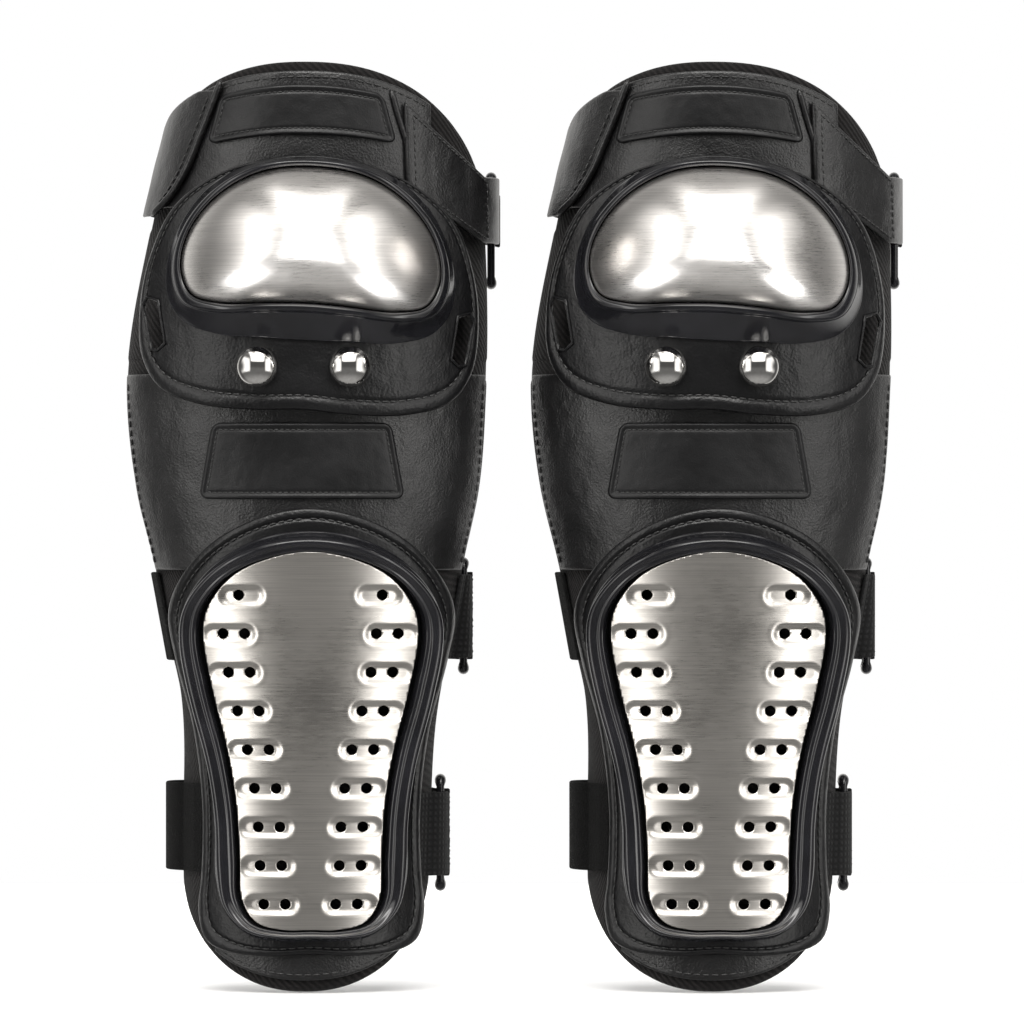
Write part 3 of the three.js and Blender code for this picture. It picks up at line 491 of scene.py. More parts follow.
def cells(tree, vector, scale, feature):
    inputs = {"Vector": vector, "Scale": scale}
    return add(tree, "ShaderNodeTexVoronoi", inputs, feature=feature).outputs["Distance"]


def leather(name, tone, rough, grain, strength, shine):
    """Grained hide or rubber, a little blotchy, with shallow creases."""
    material, tree, shader = nodes_of(name)
    place = coordinates(tree)
    pores = cells(tree, place, grain, "SMOOTH_F1")
    fine = noise_of(tree, place, grain * 2.2, 4)
    patches = noise_of(tree, place, 34, 3)
    creases = noise_of(tree, place, 90, 4, 0.55)
    dark, light = (tuple(share * c for c in tone) for share in (0.75, 1.3))
    broad = bump(tree, patches, 0.35, 0.006)
    folded = bump(tree, creases, 0.22, 0.0012, broad)
    grained = bump(tree, pores, strength, 0.0005, folded)
    feed(shader, {
        "Base Color": ramp(tree, patches, (0.3, dark), (0.7, light)),
        "Roughness": ramp(tree, patches, (0.25, rough - 0.06), (0.75, rough + 0.08)),
        "Normal": bump(tree, fine, strength * 0.8, 0.0004, grained),
        "Specular IOR Level": shine,
    })
    return material


def brushed_steel(name, tone, rough):
    """Steel brushed across the leg, with fine scratches that catch the light."""
    material, tree, shader = nodes_of(name)
    long_lines = noise_of(tree, coordinates(tree, (26, 40, 2600)), 1.0, 4, 0.6)
    short_lines = noise_of(tree, coordinates(tree, (140, 160, 5200)), 1.0, 3, 0.6)
    clouds = noise_of(tree, coordinates(tree), 26, 3)
    dull, bright = tuple(c * 0.84 for c in tone), tuple(min(1, c * 1.1) for c in tone)
    spread = math_node(tree, "ADD", short_lines, clouds)
    first = bump(tree, long_lines, 0.10, 0.0002)
    feed(shader, {
        "Metallic": 1.0,
        "Base Color": ramp(tree, long_lines, (0.3, dull), (0.7, bright)),
        "Roughness": ramp(tree, spread, (0.6, rough - 0.05), (1.0, rough + 0.08)),
        "Normal": bump(tree, short_lines, 0.06, 0.0001, first),
    })
    return material


def chrome(name):
    material, tree, shader = nodes_of(name)
    specks = noise_of(tree, coordinates(tree), 700, 2)
    feed(shader, {
        "Metallic": 1.0,
        "Base Color": ramp(tree, specks, (0.3, (0.80, 0.78, 0.76)), (0.7, (0.88, 0.87, 0.85))),
        "Roughness": ramp(tree, specks, (0.4, 0.03), (0.8, 0.07)),
    })
    return material


def gloss_plastic(name):
    material, tree, shader = nodes_of(name)
    place = coordinates(tree)
    dust, waves = noise_of(tree, place, 1500, 3), noise_of(tree, place, 60, 2)
    feed(shader, {
        "Base Color": ramp(tree, waves, (0.3, (0.006, 0.006, 0.007)), (0.7, (0.010, 0.010, 0.012))),
        "Roughness": ramp(tree, dust, (0.35, 0.07), (0.75, 0.15)),
        "Normal": bump(tree, waves, 0.05, 0.002),
    })
    return material


def twill(name, dark, light, pitch):
    """Diagonal twill, from flat coordinates in metres."""
    material, tree, shader = nodes_of(name)
    flat = coordinates(tree, kind="UV")
    lines = bands(tree, flat, 1000 / (pitch * 6.283) * 1.414, "DIAGONAL", 1.2, 3.0)
    yarn = noise_of(tree, flat, 2300, 4, 0.6)
    patches = noise_of(tree, flat, 50, 3)
    mixed = math_node(tree, "MULTIPLY", math_node(tree, "MULTIPLY", lines, yarn), patches)
    feed(shader, {
        "Base Color": ramp(tree, mixed, (0.05, dark), (0.35, light)),
        "Roughness": 0.92,
        "Sheen Weight": 0.04,
        "Sheen Roughness": 0.5,
        "Specular IOR Level": 0.25,
        "Normal": bump(tree, yarn, 0.5, 0.0004, bump(tree, lines, 0.55, 0.0006)),
    })
    return material


def webbing(name, dark, light, pitch):
    """Ribbed elastic: ribs run across the band, crossed by finer yarns along it."""
    material, tree, shader = nodes_of(name)
    flat = coordinates(tree, kind="UV")
    scale = 1000 / (pitch * 6.283)
    ribs, yarns = bands(tree, flat, scale, "X", 0.8, 4.0), bands(tree, flat, scale * 1.3, "Y", 0.8, 4.0)
    fuzz = noise_of(tree, flat, 2600, 4, 0.65)
    woven = math_node(tree, "MULTIPLY", ribs, yarns)
    feed(shader, {
        "Base Color": ramp(tree, math_node(tree, "ADD", woven, fuzz), (0.3, dark), (1.0, light)),
        "Roughness": 0.88,
        "Sheen Weight": 0.02,
        "Specular IOR Level": 0.2,
        "Normal": bump(tree, fuzz, 0.4, 0.0004, bump(tree, woven, 0.7, 0.0007)),
    })
    return material


def pile(name, dark, light):
    """Napped loop pile, all small curls."""
    material, tree, shader = nodes_of(name)
    place = coordinates(tree)
    mixed = math_node(tree, "MULTIPLY", cells(tree, place, 1500, "F1"), noise_of(tree, place, 1300, 6, 0.7))
    feed(shader, {
        "Base Color": ramp(tree, mixed, (0.1, dark), (0.5, light)),
        "Roughness": 0.97,
        "Sheen Weight": 0.02,
        "Specular IOR Level": 0.12,
        "Normal": bump(tree, mixed, 0.9, 0.001),
    })
    return material


def thread(name):
    material, tree, shader = nodes_of(name)
    twist = noise_of(tree, coordinates(tree), 2500, 2)
    feed(shader, {"Base Color": ramp(tree, twist, (0.3, 0.012), (0.8, 0.04)), "Roughness": 0.45})
    return material


MATERIALS = {name: build(name, *values) for build, name, *values in [
    (leather, "leather", (0.0045, 0.0044, 0.0048), 0.36, 1150, 0.3, 0.62),
    (leather, "moulded_flange", (0.0040, 0.0040, 0.0045), 0.33, 900, 0.25, 0.4),
    (leather, "label_rubber", (0.0045, 0.0045, 0.0050), 0.42, 1500, 0.1, 0.4),
    (brushed_steel, "knee_steel", (0.74, 0.715, 0.69), 0.24),
    (brushed_steel, "shin_steel", (0.72, 0.69, 0.65), 0.25),
    (chrome, "rivet_chrome"),
    (gloss_plastic, "gloss_black"),
    (twill, "sleeve_fabric", (0.0025, 0.0022, 0.0022), (0.014, 0.012, 0.012), 1.15),
    (webbing, "elastic_webbing", (0.0014, 0.0014, 0.0014), (0.0075, 0.0075, 0.008), 1.7),
    (pile, "loop_pile", (0.0008, 0.0008, 0.0008), (0.005, 0.005, 0.005)),
    (thread, "thread"),
]}

# ---------------------------------------------------------------- the padded sleeve

RIM = 4.5  # rounding of the padded edges
PANEL_EDGE = 1.2  # rounding of the leather's edges


def lining(name, low, high, body, depth=None):
    def surface(u, v, offset):
        deg = -90 + 180 * u
        z = low(deg) + (high(deg) - low(deg)) * v
        return sleeve(deg, z, offset, depth)

    span = abs(float(high(0.0)) - float(low(0.0)))
    cols, rows = spaced(240, 72, RIM), spaced(max(span, 40), max(16, int(span / 4)), RIM)
    make(name, sheet_mesh(surface, rows, cols, -LINING, 0.0, RIM), "sleeve_fabric", body)


def level(z):
    return lambda deg: np.full(np.shape(deg), float(z))


def knee_lining_top(deg):
    return THIGH_BEND - 2 - THIGH_BEND / 5 * (1 - fall(deg))


KNEE_LINING_DEPTH = 51.5
lining("thigh_lining", level(THIGH_BEND + 2), top_rim, "thigh")
lining("knee_lining", level(2), knee_lining_top, "knee", KNEE_LINING_DEPTH)
lining("shin_lining", bottom_rim, level(-2), "shin")


def gusset(name, middle_z, half, upper_depth, lower_depth, bend):
    """Stretch fabric that closes the gap between two linings."""
    def surface(u, v, offset):
        z = middle_z - half + 2 * half * v
        share = np.clip((z - middle_z + 6) / 12, 0, 1)
        share = share * share * (3 - 2 * share)
        return sleeve(-89 + 178 * u, z, offset, lower_depth(z) + (upper_depth(z) - lower_depth(z)) * share)

    rows, cols = spaced(2 * half, 26, 1.5), spaced(240, 60, 1.5)
    shape = sheet_mesh(surface, rows, cols, -5.2, -0.5, 1.5)
    make(name, shape, "sleeve_fabric", None, stands_for=False, bend=bend)


gusset("thigh_gusset", 62, 22, depth_at, level(KNEE_LINING_DEPTH), ("thigh", "knee", 62, 9))
gusset("knee_gusset", 0, 13, level(KNEE_LINING_DEPTH), depth_at, ("knee", "shin", 0, 9))


def panel(name, start, end, low, high, body):
    """A leather panel between two angles and two lines of height."""
    def surface(u, v, offset):
        deg = start + (end - start) * u
        z = low(deg) + (high(deg) - low(deg)) * v
        base = sleeve(deg, z, 0.0)
        return sleeve(deg, z, offset + wrinkle(base, 0.045, 0.35) * (offset > (PANEL_IN + PANEL_OUT) / 2))

    cols = spaced((end - start) * 1.2, max(24, int((end - start) / 2)), PANEL_EDGE)
    rows = spaced(60, 28, PANEL_EDGE)
    make(name, sheet_mesh(surface, rows, cols, PANEL_IN, PANEL_OUT), "leather", body)


panel("thigh_panel", -75, 45, level(THIGH_BEND + 4), lambda deg: top_rim(deg) - 4, "thigh")
# rows of height and angle
INNER_SEAM = [(THIGH_TOP - 8, -39.5), (118, -41), (100, -46), (82, -52.5), (74, -58.5), (67, -69)]
OUTER_SEAM = [(THIGH_TOP - 12, 29), (115, 30), (98, 34), (82, 38.5), (74, 45), (69, 53)]


def seam_points(table, offset, count=60):
    z = np.linspace(table[0][0], table[-1][0], count)
    return sleeve(smooth_table(table, z), z, offset)


def inner_side_panel():
    foot = 66.5

    def surface(u, v, offset):
        z = foot + (THIGH_TOP - 12 - foot) * v
        front = smooth_table(INNER_SEAM, z)
        deg = front + (-87 - front) * u
        top = top_rim(deg) - 4
        z = np.minimum(z, top)
        base = sleeve(deg, z, 0.0)
        return sleeve(deg, z, offset + wrinkle(base, 0.06, 0.6) * (offset > SIDE_IN + 0.8))

    rows, cols = spaced(55, 40, PANEL_EDGE), spaced(60, 40, PANEL_EDGE)
    make("inner_side_panel", sheet_mesh(surface, rows, cols, SIDE_IN, SIDE_IN + LEATHER), "leather", "thigh")


def around(turn, a, b):
    """Unit directions at the angles of turn, from a towards b."""
    return np.cos(turn)[:, None] * a + np.sin(turn)[:, None] * b


def piping(name, line, radius):
    """A round cord of leather along a line of points, tapered at both ends."""
    line = even(line, 1.2)
    along = np.gradient(line, axis=0)
    along /= np.linalg.norm(along, axis=1, keepdims=True)
    side = np.cross(along, [0, 1.0, 0])
    side /= np.maximum(np.linalg.norm(side, axis=1, keepdims=True), 1e-9)
    other = np.cross(along, side)
    ends = np.minimum(np.arange(len(line)), np.arange(len(line))[::-1]) / 4.0
    size = radius * np.sqrt(1 - (1 - np.clip(ends + 0.05, 0, 1)) ** 2)
    turn = np.linspace(0, 2 * math.pi, 12, endpoint=False)
    loops = [p + r * around(turn, a, b) for p, r, a, b in zip(line, size, side, other)]
    make(name, loops_mesh(loops, caps=True), "leather", "thigh", stands_for=False)


def even(path, step=1.6):
    path = np.asarray(path)
    keep = np.concatenate([[True], np.linalg.norm(np.diff(path, axis=0), axis=1) > 1e-6])
    path = path[keep]
    run = np.concatenate([[0], np.cumsum(np.linalg.norm(np.diff(path, axis=0), axis=1))])
    at = np.linspace(0, run[-1], max(8, int(run[-1] / step)))
    return np.stack([np.interp(at, run, path[:, k]) for k in range(path.shape[1])], -1)


inner_side_panel()
piping("inner_piping", seam_points(INNER_SEAM, SIDE_IN + LEATHER - 0.2), 1.5)
piping("outer_piping", seam_points(OUTER_SEAM, PANEL_OUT + 0.3), 1.4)
angles = np.linspace(-70, 43, 120)
stitches("thigh_rim_stitching", [sleeve(angles, top_rim(angles) - 6.6, PANEL_OUT + 0.12)], "thigh")
heights = np.linspace(117, 72, 60)
seam = sleeve(smooth_table(INNER_SEAM, heights) - 4.0, heights, SIDE_IN + LEATHER + 0.25)
stitches("inner_seam_stitching", [seam], "thigh")
angles = np.linspace(-40, 40, 90)
stitches("foot_stitching", [sleeve(angles, bottom_rim(angles) + 7.4, PANEL_OUT + 0.12)], "shin")
for k, deg in enumerate((-72.5, 72.5)):
    heights = np.linspace(-6, -84, 70)
    stitches(f"middle_seam_{k + 1}_stitching", [sleeve(np.full(70, deg), heights, PANEL_OUT + 0.15)], "shin")
panel("foot_panel", -45, 45, lambda deg: bottom_rim(deg) + 5, lambda deg: bottom_rim(deg) + 17, "shin")


def middle_panel():
    reach, bottom = 24.0, -86.0
    tail_share = 0.42  # of the rows, spent on the tail behind the knee unit

    def surface(u, v, offset):
        deg = -75 + 150 * u
        flat = np.clip(v / (1 - tail_share), 0, 1)
        z = bottom + (-2 - bottom) * flat
        offset = offset + wrinkle(sleeve(deg, z, 0.0), 0.04, 0.5) * (offset > 1.5)
        p = sleeve(deg, z, offset)
        tail = np.clip((v - (1 - tail_share)) / tail_share, 0, 1)
        cover = np.clip((52 - np.abs(deg)) / 6, 0, 1)
        rise = np.radians(reach) * tail * np.maximum(cover, 0.02)
        radius = np.hypot(p[..., 1], p[..., 2])
        start = np.arctan2(p[..., 2], -p[..., 1])
        lifted = np.stack([p[..., 0], -radius * np.cos(start + rise), radius * np.sin(start + rise)], -1)
        return np.where((tail > 0)[..., None], lifted, p)

    rows, cols = spaced(110, 60, PANEL_EDGE), spaced(190, 84, PANEL_EDGE)
    make("middle_panel", sheet_mesh(surface, rows, cols, PANEL_IN, PANEL_OUT), "leather", "shin")


middle_panel()


def label(name, bottom_half, top_half, bottom, top, bow, body):
    """A blank rubber patch, wider at its foot, with rounded corners and a stitched channel near its edge."""
    inner, corner, shift, inset = PANEL_OUT + 0.7, 4.0, -1, 2.9

    def surface(u, v, offset):
        s = 2 * u - 1
        half, tall = (bottom_half + top_half) / 2, (top - bottom) / 2
        a = np.clip(corner - (1 - np.abs(s)) * half, 0, None)
        b = np.clip(corner - (1 - np.abs(2 * v - 1)) * tall, 0, None)
        pull = np.where((a > 0) & (b > 0), np.maximum(a, b) / np.maximum(np.hypot(a, b), 1e-9), 1.0)
        s = s - np.sign(s) * a * (1 - pull) / half
        v = v - np.sign(v - 0.5) * b * (1 - pull) / (2 * tall)
        x = shift + s * (bottom_half + (top_half - bottom_half) * v)
        z = bottom + (top - bottom) * v - bow * s * s
        depth = ellipse_depth(x - shift_at(z), half_width(x, z) + offset, depth_at(z) + offset)
        return np.stack([x, -depth, z], -1)

    def sunk(u, v, d):
        return 0.25 * np.exp(-((d - 1.0) / 0.8) ** 2) - 0.35 * np.exp(-((d - inset) / 0.7) ** 2)

    def denser(shares, near):
        """The same shares with more of them near both ends, where the channel runs."""
        ends = np.linspace(0, near, 9)
        return np.unique(np.concatenate([shares, ends, 1 - ends]))

    cols, rows = denser(spaced(80, 70, 5), 0.07), denser(spaced(30, 34, 5), 0.18)
    shape = sheet_mesh(surface, rows, cols, inner, inner + LEATHER, 1.0, sunk)
    make(name, shape, "label_rubber", body)
    near_u, near_v = inset / (bottom_half + top_half), inset / (top - bottom)
    corners = [(near_u, near_v), (1 - near_u, near_v), (1 - near_u, 1 - near_v), (near_u, 1 - near_v)]
    t = np.linspace(0, 1, 60)
    lines = []
    for u, v in zip(corners, corners[1:] + corners[:1]):
        uu, vv = u[0] + (v[0] - u[0]) * t, u[1] + (v[1] - u[1]) * t
        lines.append(surface(uu, vv, np.full(t.shape, inner + LEATHER - 0.1)))
    stitches(name + "_stitching", lines, body, 2.4, 0.28)


label("thigh_label", 41, 35, THIGH_TOP - 31.4, THIGH_TOP - 10, 4, "thigh")
label("middle_label", 44.3, 38.5, -55.5, -22.8, 0, "shin")

# ---------------------------------------------------------------- knee unit

SEAM_INSET = 4.2  # from a flange's edge to its stitches


def flange_mesh(hole, edge, front, thickness):
    """A moulded flange: rounded edge, a sunk channel for its stitches and a soft swell outside it."""
    width = np.linalg.norm(edge - hole, axis=1).mean()
    round_off = lambda d: thickness / 2 * math.sqrt(1 - (1 - min(1, d / 1.4)) ** 2)
    loops = []
    for share in np.concatenate([np.linspace(0, 0.6, 10), np.linspace(0.64, 1, 34)]):
        d = (1 - share) * width
        rise = round_off(d) - thickness / 2
        rise -= 0.55 * math.exp(-((d - SEAM_INSET) / 0.8) ** 2)
        rise += 0.25 * math.exp(-((d - 2.2) / 1.0) ** 2)
        loops.append(stand_off(front, hole + (edge - hole) * share, rise))
    for share in (0.97, 0.9, 0.6, 0.3, 0.0):
        drop = thickness / 2 + round_off((1 - share) * width)
        loops.append(stand_off(front, hole + (edge - hole) * share, -drop))
    return loops_mesh(loops)


def flange_seam(name, hole, edge, front, body):
    seam = hole + (edge - hole) * (1 - SEAM_INSET / np.linalg.norm(edge - hole, axis=1).mean())
    stitches(name, [stand_off(front, seam, -0.2)], body)


def cut_mesh(verts, faces, cutters):
    """Booleans on a closed mesh, in mm. Each cutter is (verts, faces, operation)."""
    def plain(v, f):
        mesh = bpy.data.meshes.new("scratch")
        mesh.from_pydata(np.asarray(v, float).tolist(), [], [list(map(int, q)) for q in f])
        bm = bmesh.new()
        bm.from_mesh(mesh)
        bmesh.ops.recalc_face_normals(bm, faces=bm.faces)
        bm.to_mesh(mesh)
        bm.free()
        ob = bpy.data.objects.new("scratch", mesh)
        bpy.context.scene.collection.objects.link(ob)
        return ob

    base = plain(verts, faces)
    tools = []
    for v, f, operation in cutters:
        tool = plain(v, f)
        modifier = base.modifiers.new("cut", "BOOLEAN")
        modifier.operation = operation
        modifier.object = tool
        modifier.solver = "MANIFOLD"
        tools.append(tool)
    bpy.context.view_layer.update()
    result = base.evaluated_get(bpy.context.evaluated_depsgraph_get()).to_mesh()
    out_v = np.array([v.co[:] for v in result.vertices])
    out_f = [tuple(p.vertices) for p in result.polygons]
    base.evaluated_get(bpy.context.evaluated_depsgraph_get()).to_mesh_clear()
    for ob in [base] + tools:
        mesh = ob.data
        bpy.data.objects.remove(ob)
        bpy.data.meshes.remove(mesh)
    return out_v, out_f


def prism(p, y0, y1):
    """A prism along Y over an (x, z) outline."""
    count = len(p)
    verts = np.concatenate([np.stack([p[:, 0], np.full(count, y), p[:, 1]], -1) for y in (y0, y1)])
    faces = [[j, (j + 1) % count, count + (j + 1) % count, count + j] for j in range(count)]
    faces += [list(range(count))[::-1], list(range(count, 2 * count))]
    return verts, faces


def circle(x, z, radius, count=24):
    t = np.linspace(0, 2 * math.pi, count, endpoint=False)
    return np.stack([x + radius * np.cos(t), z + radius * np.sin(t)], -1)


def lean(x, z):
    c, s = math.cos(UNIT_LEAN), math.sin(UNIT_LEAN)
    return np.array([c * x - s * (z - UNIT_Z) + UNIT_X, s * x + c * (z - UNIT_Z) + UNIT_Z])


FLANGE_HALF, FLANGE_TOP, FLANGE_BOTTOM = 73.5, 91.5, -18.5
CUP_HALF, CUP_TOP, CUP_BOTTOM = 55.5, 86.0, 26.5
VENT = [(0.2, 1), (-1, 0.78), (-0.75, -0.8), (0.3, -1), (1, -0.9), (0.9, 0.75)]


def vent_outline(side, grow=0.0):
    corner = np.array([(u * side * (3 + grow), v * (11 + grow)) for u, v in VENT])
    turn = side * math.radians(12)
    c, s = math.cos(turn), math.sin(turn)
    place = lean(side * (FLANGE_HALF - 7.5), FLANGE_BOTTOM + 35)
    return corner @ np.array([[c, -s], [s, c]]) + place


RIVETS = [(-19.35, 1.2), (19.35, 1.2)]


def knee_unit():
    hole = knee_outline(CUP, CUP_HALF - 7, CUP_TOP - 7, CUP_BOTTOM + 7)
    edge = knee_outline(FLANGE, FLANGE_HALF, FLANGE_TOP, FLANGE_BOTTOM)
    verts, faces = flange_mesh(hole, edge, flange_front, 2.0)
    cutters = [(*prism(vent_outline(side), -90, -5), "DIFFERENCE") for side in (-1, 1)]
    cutters += [(*prism(circle(x, z, 2.6), -90, -40), "DIFFERENCE") for x, z in RIVETS]
    make("knee_flange", cut_mesh(verts, faces, cutters), "moulded_flange", "knee")
    flange_seam("knee_flange_stitching", hole, edge, flange_front, "knee")

    for k, side in enumerate((-1, 1)):
        rim_out, rim_in = dense_loop(vent_outline(side, 1.5), 6), dense_loop(vent_outline(side, 0.2), 6)
        profile = [(0, 0.05), (0.3, 0.75), (0.65, 0.8), (1, 0.3), (1, 0.05)]
        loops = [stand_off(flange_front, rim_out * (1 - share) + rim_in * share, rise) for share, rise in profile]
        make(f"knee_vent_rim_{k + 1}", loops_mesh(loops), "moulded_flange", "knee", stands_for=False)
    bezel_and_cup()
    for k, place in enumerate(RIVETS):
        rivet(f"knee_rivet_{k + 1}", np.array(place))


def at_depth(p, depth):
    return np.stack([p[:, 0], -depth, p[:, 1]], -1)


def bezel_and_cup():
    rim = knee_outline(CUP, CUP_HALF + 0.4, CUP_TOP + 0.4, CUP_BOTTOM - 0.4)
    lip = knee_outline(CUP, CUP_HALF + 4.2, CUP_TOP + 3.4, CUP_BOTTOM - 4.2)
    foot = knee_outline(BEZEL, 62, 90.5, 12.4)
    seat = lambda p: flange_front(p) + 0.5
    at = at_depth
    loops = [at(rim, np.maximum(cup_rim_front(rim) - 3, seat(rim) + 0.6))]
    for t in np.linspace(0, 1, 12):
        p = rim + (lip - rim) * (1 - math.cos(t * math.pi)) / 2
        rise = 0.4 + 2.3 * math.sin(t * math.pi) ** 0.8
        loops.append(at(p, np.maximum(cup_rim_front(p) + rise, seat(p) + 1.5)))
    for t in np.linspace(0.06, 1, 16):
        p = lip + (foot - lip) * t
        high = np.maximum(cup_rim_front(lip) + 0.4, seat(lip) + 1.5)
        low = seat(foot) + 0.9
        loops.append(at(p, low + (high - low) * (1 - t) ** 1.25))
    loops.append(at(foot, seat(foot) + 0.3))
    loops.append(at(foot * 0.98 + lip * 0.02, seat(foot)))
    inner = rim + (foot - rim) * 0.35
    loops.append(at(inner, seat(inner)))
    make("knee_bezel", loops_mesh(loops), "gloss_black", "knee")

    edge = knee_outline(CUP, CUP_HALF, CUP_TOP, CUP_BOTTOM)
    centre = middle(edge)
    inside = lambda share: centre + (edge - centre) * share
    front = lambda share: cup_rim_front(inside(share)) + 21.0 * (1 - share * share) ** 0.8
    shares = np.sin(np.linspace(0.03, 1, 40) * math.pi / 2)
    loops = [at(inside(s), front(s)) for s in shares]
    loops += [at(inside(s), front(s) - STEEL) for s in shares[::-2]]
    make("knee_cup", loops_mesh(loops, caps=True), "knee_steel", "knee")

    share, back = 0.7, 62.3
    loops = [at(inside(part * share), np.maximum(front(part * share) - 3.2, back + 2))
             for part in (0.25, 0.5, 0.75, 0.9, 1.0)]
    loops += [at(inside(part), np.full(len(edge), back)) for part in (share, share / 2)]
    make("knee_foam", loops_mesh(loops, caps=True), "loop_pile", "knee")


def rivet(name, place):
    """A polished dome, its shank and the tail spread behind the flange, as (radius, height) rings."""
    base = stand_off(flange_front, place, 0.0)
    normal = stand_off(flange_front, place, 1.0) - base
    e1 = np.cross(normal, [0, 0, 1.0])
    e1 /= np.linalg.norm(e1)
    e2 = np.cross(normal, e1)
    profile = [(2.2, -4.2), (4.5, -4.3), (4.5, -3.4), (2.2, -3.3), (2.2, 1.2), (7.4, 1.15)]
    dome = np.linspace(math.pi * 0.58, 0.06, 26)
    profile += [(9.0 * math.sin(t), 3.06 + 7.57 * math.cos(t)) for t in dome]
    turn = np.linspace(0, 2 * math.pi, 48, endpoint=False)
    loops = [base + r * around(turn, e1, e2) + normal * h for r, h in profile]
    make(name, loops_mesh(loops, caps=True), "rivet_chrome", "knee")


knee_unit()

# ---------------------------------------------------------------- shin unit

SHIN_TOP, SHIN_FOOT = -59.5, SHIN_BOTTOM + 15.5
PLATE_HALF, PLATE_TOP, PLATE_FOOT = 46.5, SHIN_TOP - 18.5, SHIN_FOOT + 11.5
HOLE, PITCH, ROWS = 2.35, 9.3, 9
TOP_HOLE_INSET = 1.5  # the single holes of the top row lie this far inside the line of the outer holes


def plate_rows():
    """Rows of hole centres on the right-hand side, as (height, [x of each hole from the middle])."""
    edge = outline(SHIN_PLATE, PLATE_HALF, PLATE_TOP, PLATE_FOOT, 400)
    right = edge[edge[:, 0] > 0]
    rows = []
    for k in range(ROWS):
        z = (PLATE_TOP - 18.5) + (PLATE_FOOT + 11 - (PLATE_TOP - 18.5)) * k / (ROWS - 1)
        reach = right[np.argmin(np.abs(right[:, 1] - z)), 0] - 8.5
        rows.append((z, [reach - TOP_HOLE_INSET] if k == 0 else [reach, reach - PITCH]))
    return rows


def shin_unit():
    edge = shin_outline(SHIN_FLANGE, 62.3, SHIN_TOP, SHIN_FOOT)
    hole = shin_outline(SHIN_PLATE, PLATE_HALF - 5, PLATE_TOP - 5, PLATE_FOOT + 5)
    make("shin_flange", flange_mesh(hole, edge, shin_front, 2.0), "moulded_flange", "shin")
    flange_seam("shin_flange_stitching", hole, edge, shin_front, "shin")

    foot = shin_outline(SHIN_FRAME, 55.5, SHIN_TOP - 9.5, SHIN_FOOT + 6.6)
    rim = shin_outline(SHIN_PLATE, PLATE_HALF + 0.4, PLATE_TOP + 0.4, PLATE_FOOT - 0.4)
    profile = [(0.0, 1.0), (0.0, 4.6), (0.02, 5.3), (0.07, 6.0), (0.14, 6.2), (0.2, 6.0), (0.25, 6.2), (0.32, 7.2),
               (0.4, 7.9), (0.5, 8.1), (0.6, 7.6), (0.7, 6.2), (0.78, 4.6), (0.85, 3.2), (0.9, 2.5), (0.95, 2.2),
               (0.985, 1.9), (1.0, 1.4), (1.0, 0.9), (0.97, 0.6), (0.5, 0.6)]
    loops = [stand_off(shin_front, rim + (foot - rim) * share, rise) for share, rise in profile]
    make("shin_frame", loops_mesh(loops), "gloss_black", "shin")
    shin_plate(plate_rows())


def plate_dents(gx, gz, rows):
    """How far the plate stands out at each point: pressed slots round the holes, with a faint rim."""
    dent = np.zeros_like(gx)
    for z, reach in rows:
        inner = reach[0] - 8.0 if len(reach) == 1 else min(reach) - 2.0
        for sign in (-1, 1):
            ends = sorted([sign * (max(reach) + 2.0), sign * inner])
            r = np.hypot(gx - np.clip(gx, *ends), gz - z)
            wall = np.clip((r - 1.9) / 3.0, 0, 1)
            dent -= 1.0 * (1 - wall * wall * (3 - 2 * wall))
            dent += 0.1 * np.exp(-((r - 5.4) / 0.9) ** 2)
    return dent


def shin_plate(rows):
    step = 0.75
    xs = np.arange(-PLATE_HALF - 1, PLATE_HALF + 1 + step, step)
    zs = np.arange(PLATE_FOOT - 1, PLATE_TOP + 1 + step, step)
    gx, gz = np.meshgrid(xs, zs)
    dent = plate_dents(gx, gz, rows)
    p = np.stack([gx + SHIN_X, gz], -1)
    front = stand_off(shin_front, p, 5.0 + dent)
    back = stand_off(shin_front, p, 3.7 + dent)
    n_rows, n_cols = gx.shape
    verts = np.concatenate([front.reshape(-1, 3), back.reshape(-1, 3)])
    count = n_rows * n_cols
    faces = grid_faces(n_rows, n_cols) + grid_faces(n_rows, n_cols, count, flip=True)
    border = list(range(n_cols)) + [i * n_cols + n_cols - 1 for i in range(1, n_rows)]
    border += [(n_rows - 1) * n_cols + j for j in range(n_cols - 2, -1, -1)]
    border += [i * n_cols for i in range(n_rows - 2, 0, -1)]
    for a, b in zip(border, border[1:] + border[:1]):
        faces.append([a, b, count + b, count + a])
    plate_edge = shin_outline(SHIN_PLATE, PLATE_HALF, PLATE_TOP, PLATE_FOOT, 260)
    cutters = [(*prism(plate_edge, -80, 0), "INTERSECT")]
    tool_v, tool_f = [], []
    for z, reach in rows:
        for x in reach:
            for sign in (-1, 1):
                v, f = prism(circle(SHIN_X + sign * x, z, HOLE), -80, -10)
                tool_f += [[len(tool_v) + i for i in q] for q in f]
                tool_v += v.tolist()
    cutters.append((np.array(tool_v), tool_f, "DIFFERENCE"))
    make("shin_plate", cut_mesh(verts, faces, cutters), "shin_steel", "shin")


shin_unit()

# ---------------------------------------------------------------- straps, tabs and buckles

STRAP, THICK, REAR, FLAT = 38.0, 1.8, 52.0, 20.0
BAR, WINDOW, HEIGHT = 1.7, 15.0, 46.0
TURN = BAR + 0.5 + THICK / 2
TAB = BAR + 0.4 + LEATHER / 2
HOOK = 2.4
BUCKLES = {"thigh": (KNEE_HALF + 2, 6.0, THIGH_BEND - 5), "middle": (KNEE_HALF - 10, 6.0, -106.0),
           "lower": (SHIN_HALF + 3, 6.0, -200.0)}
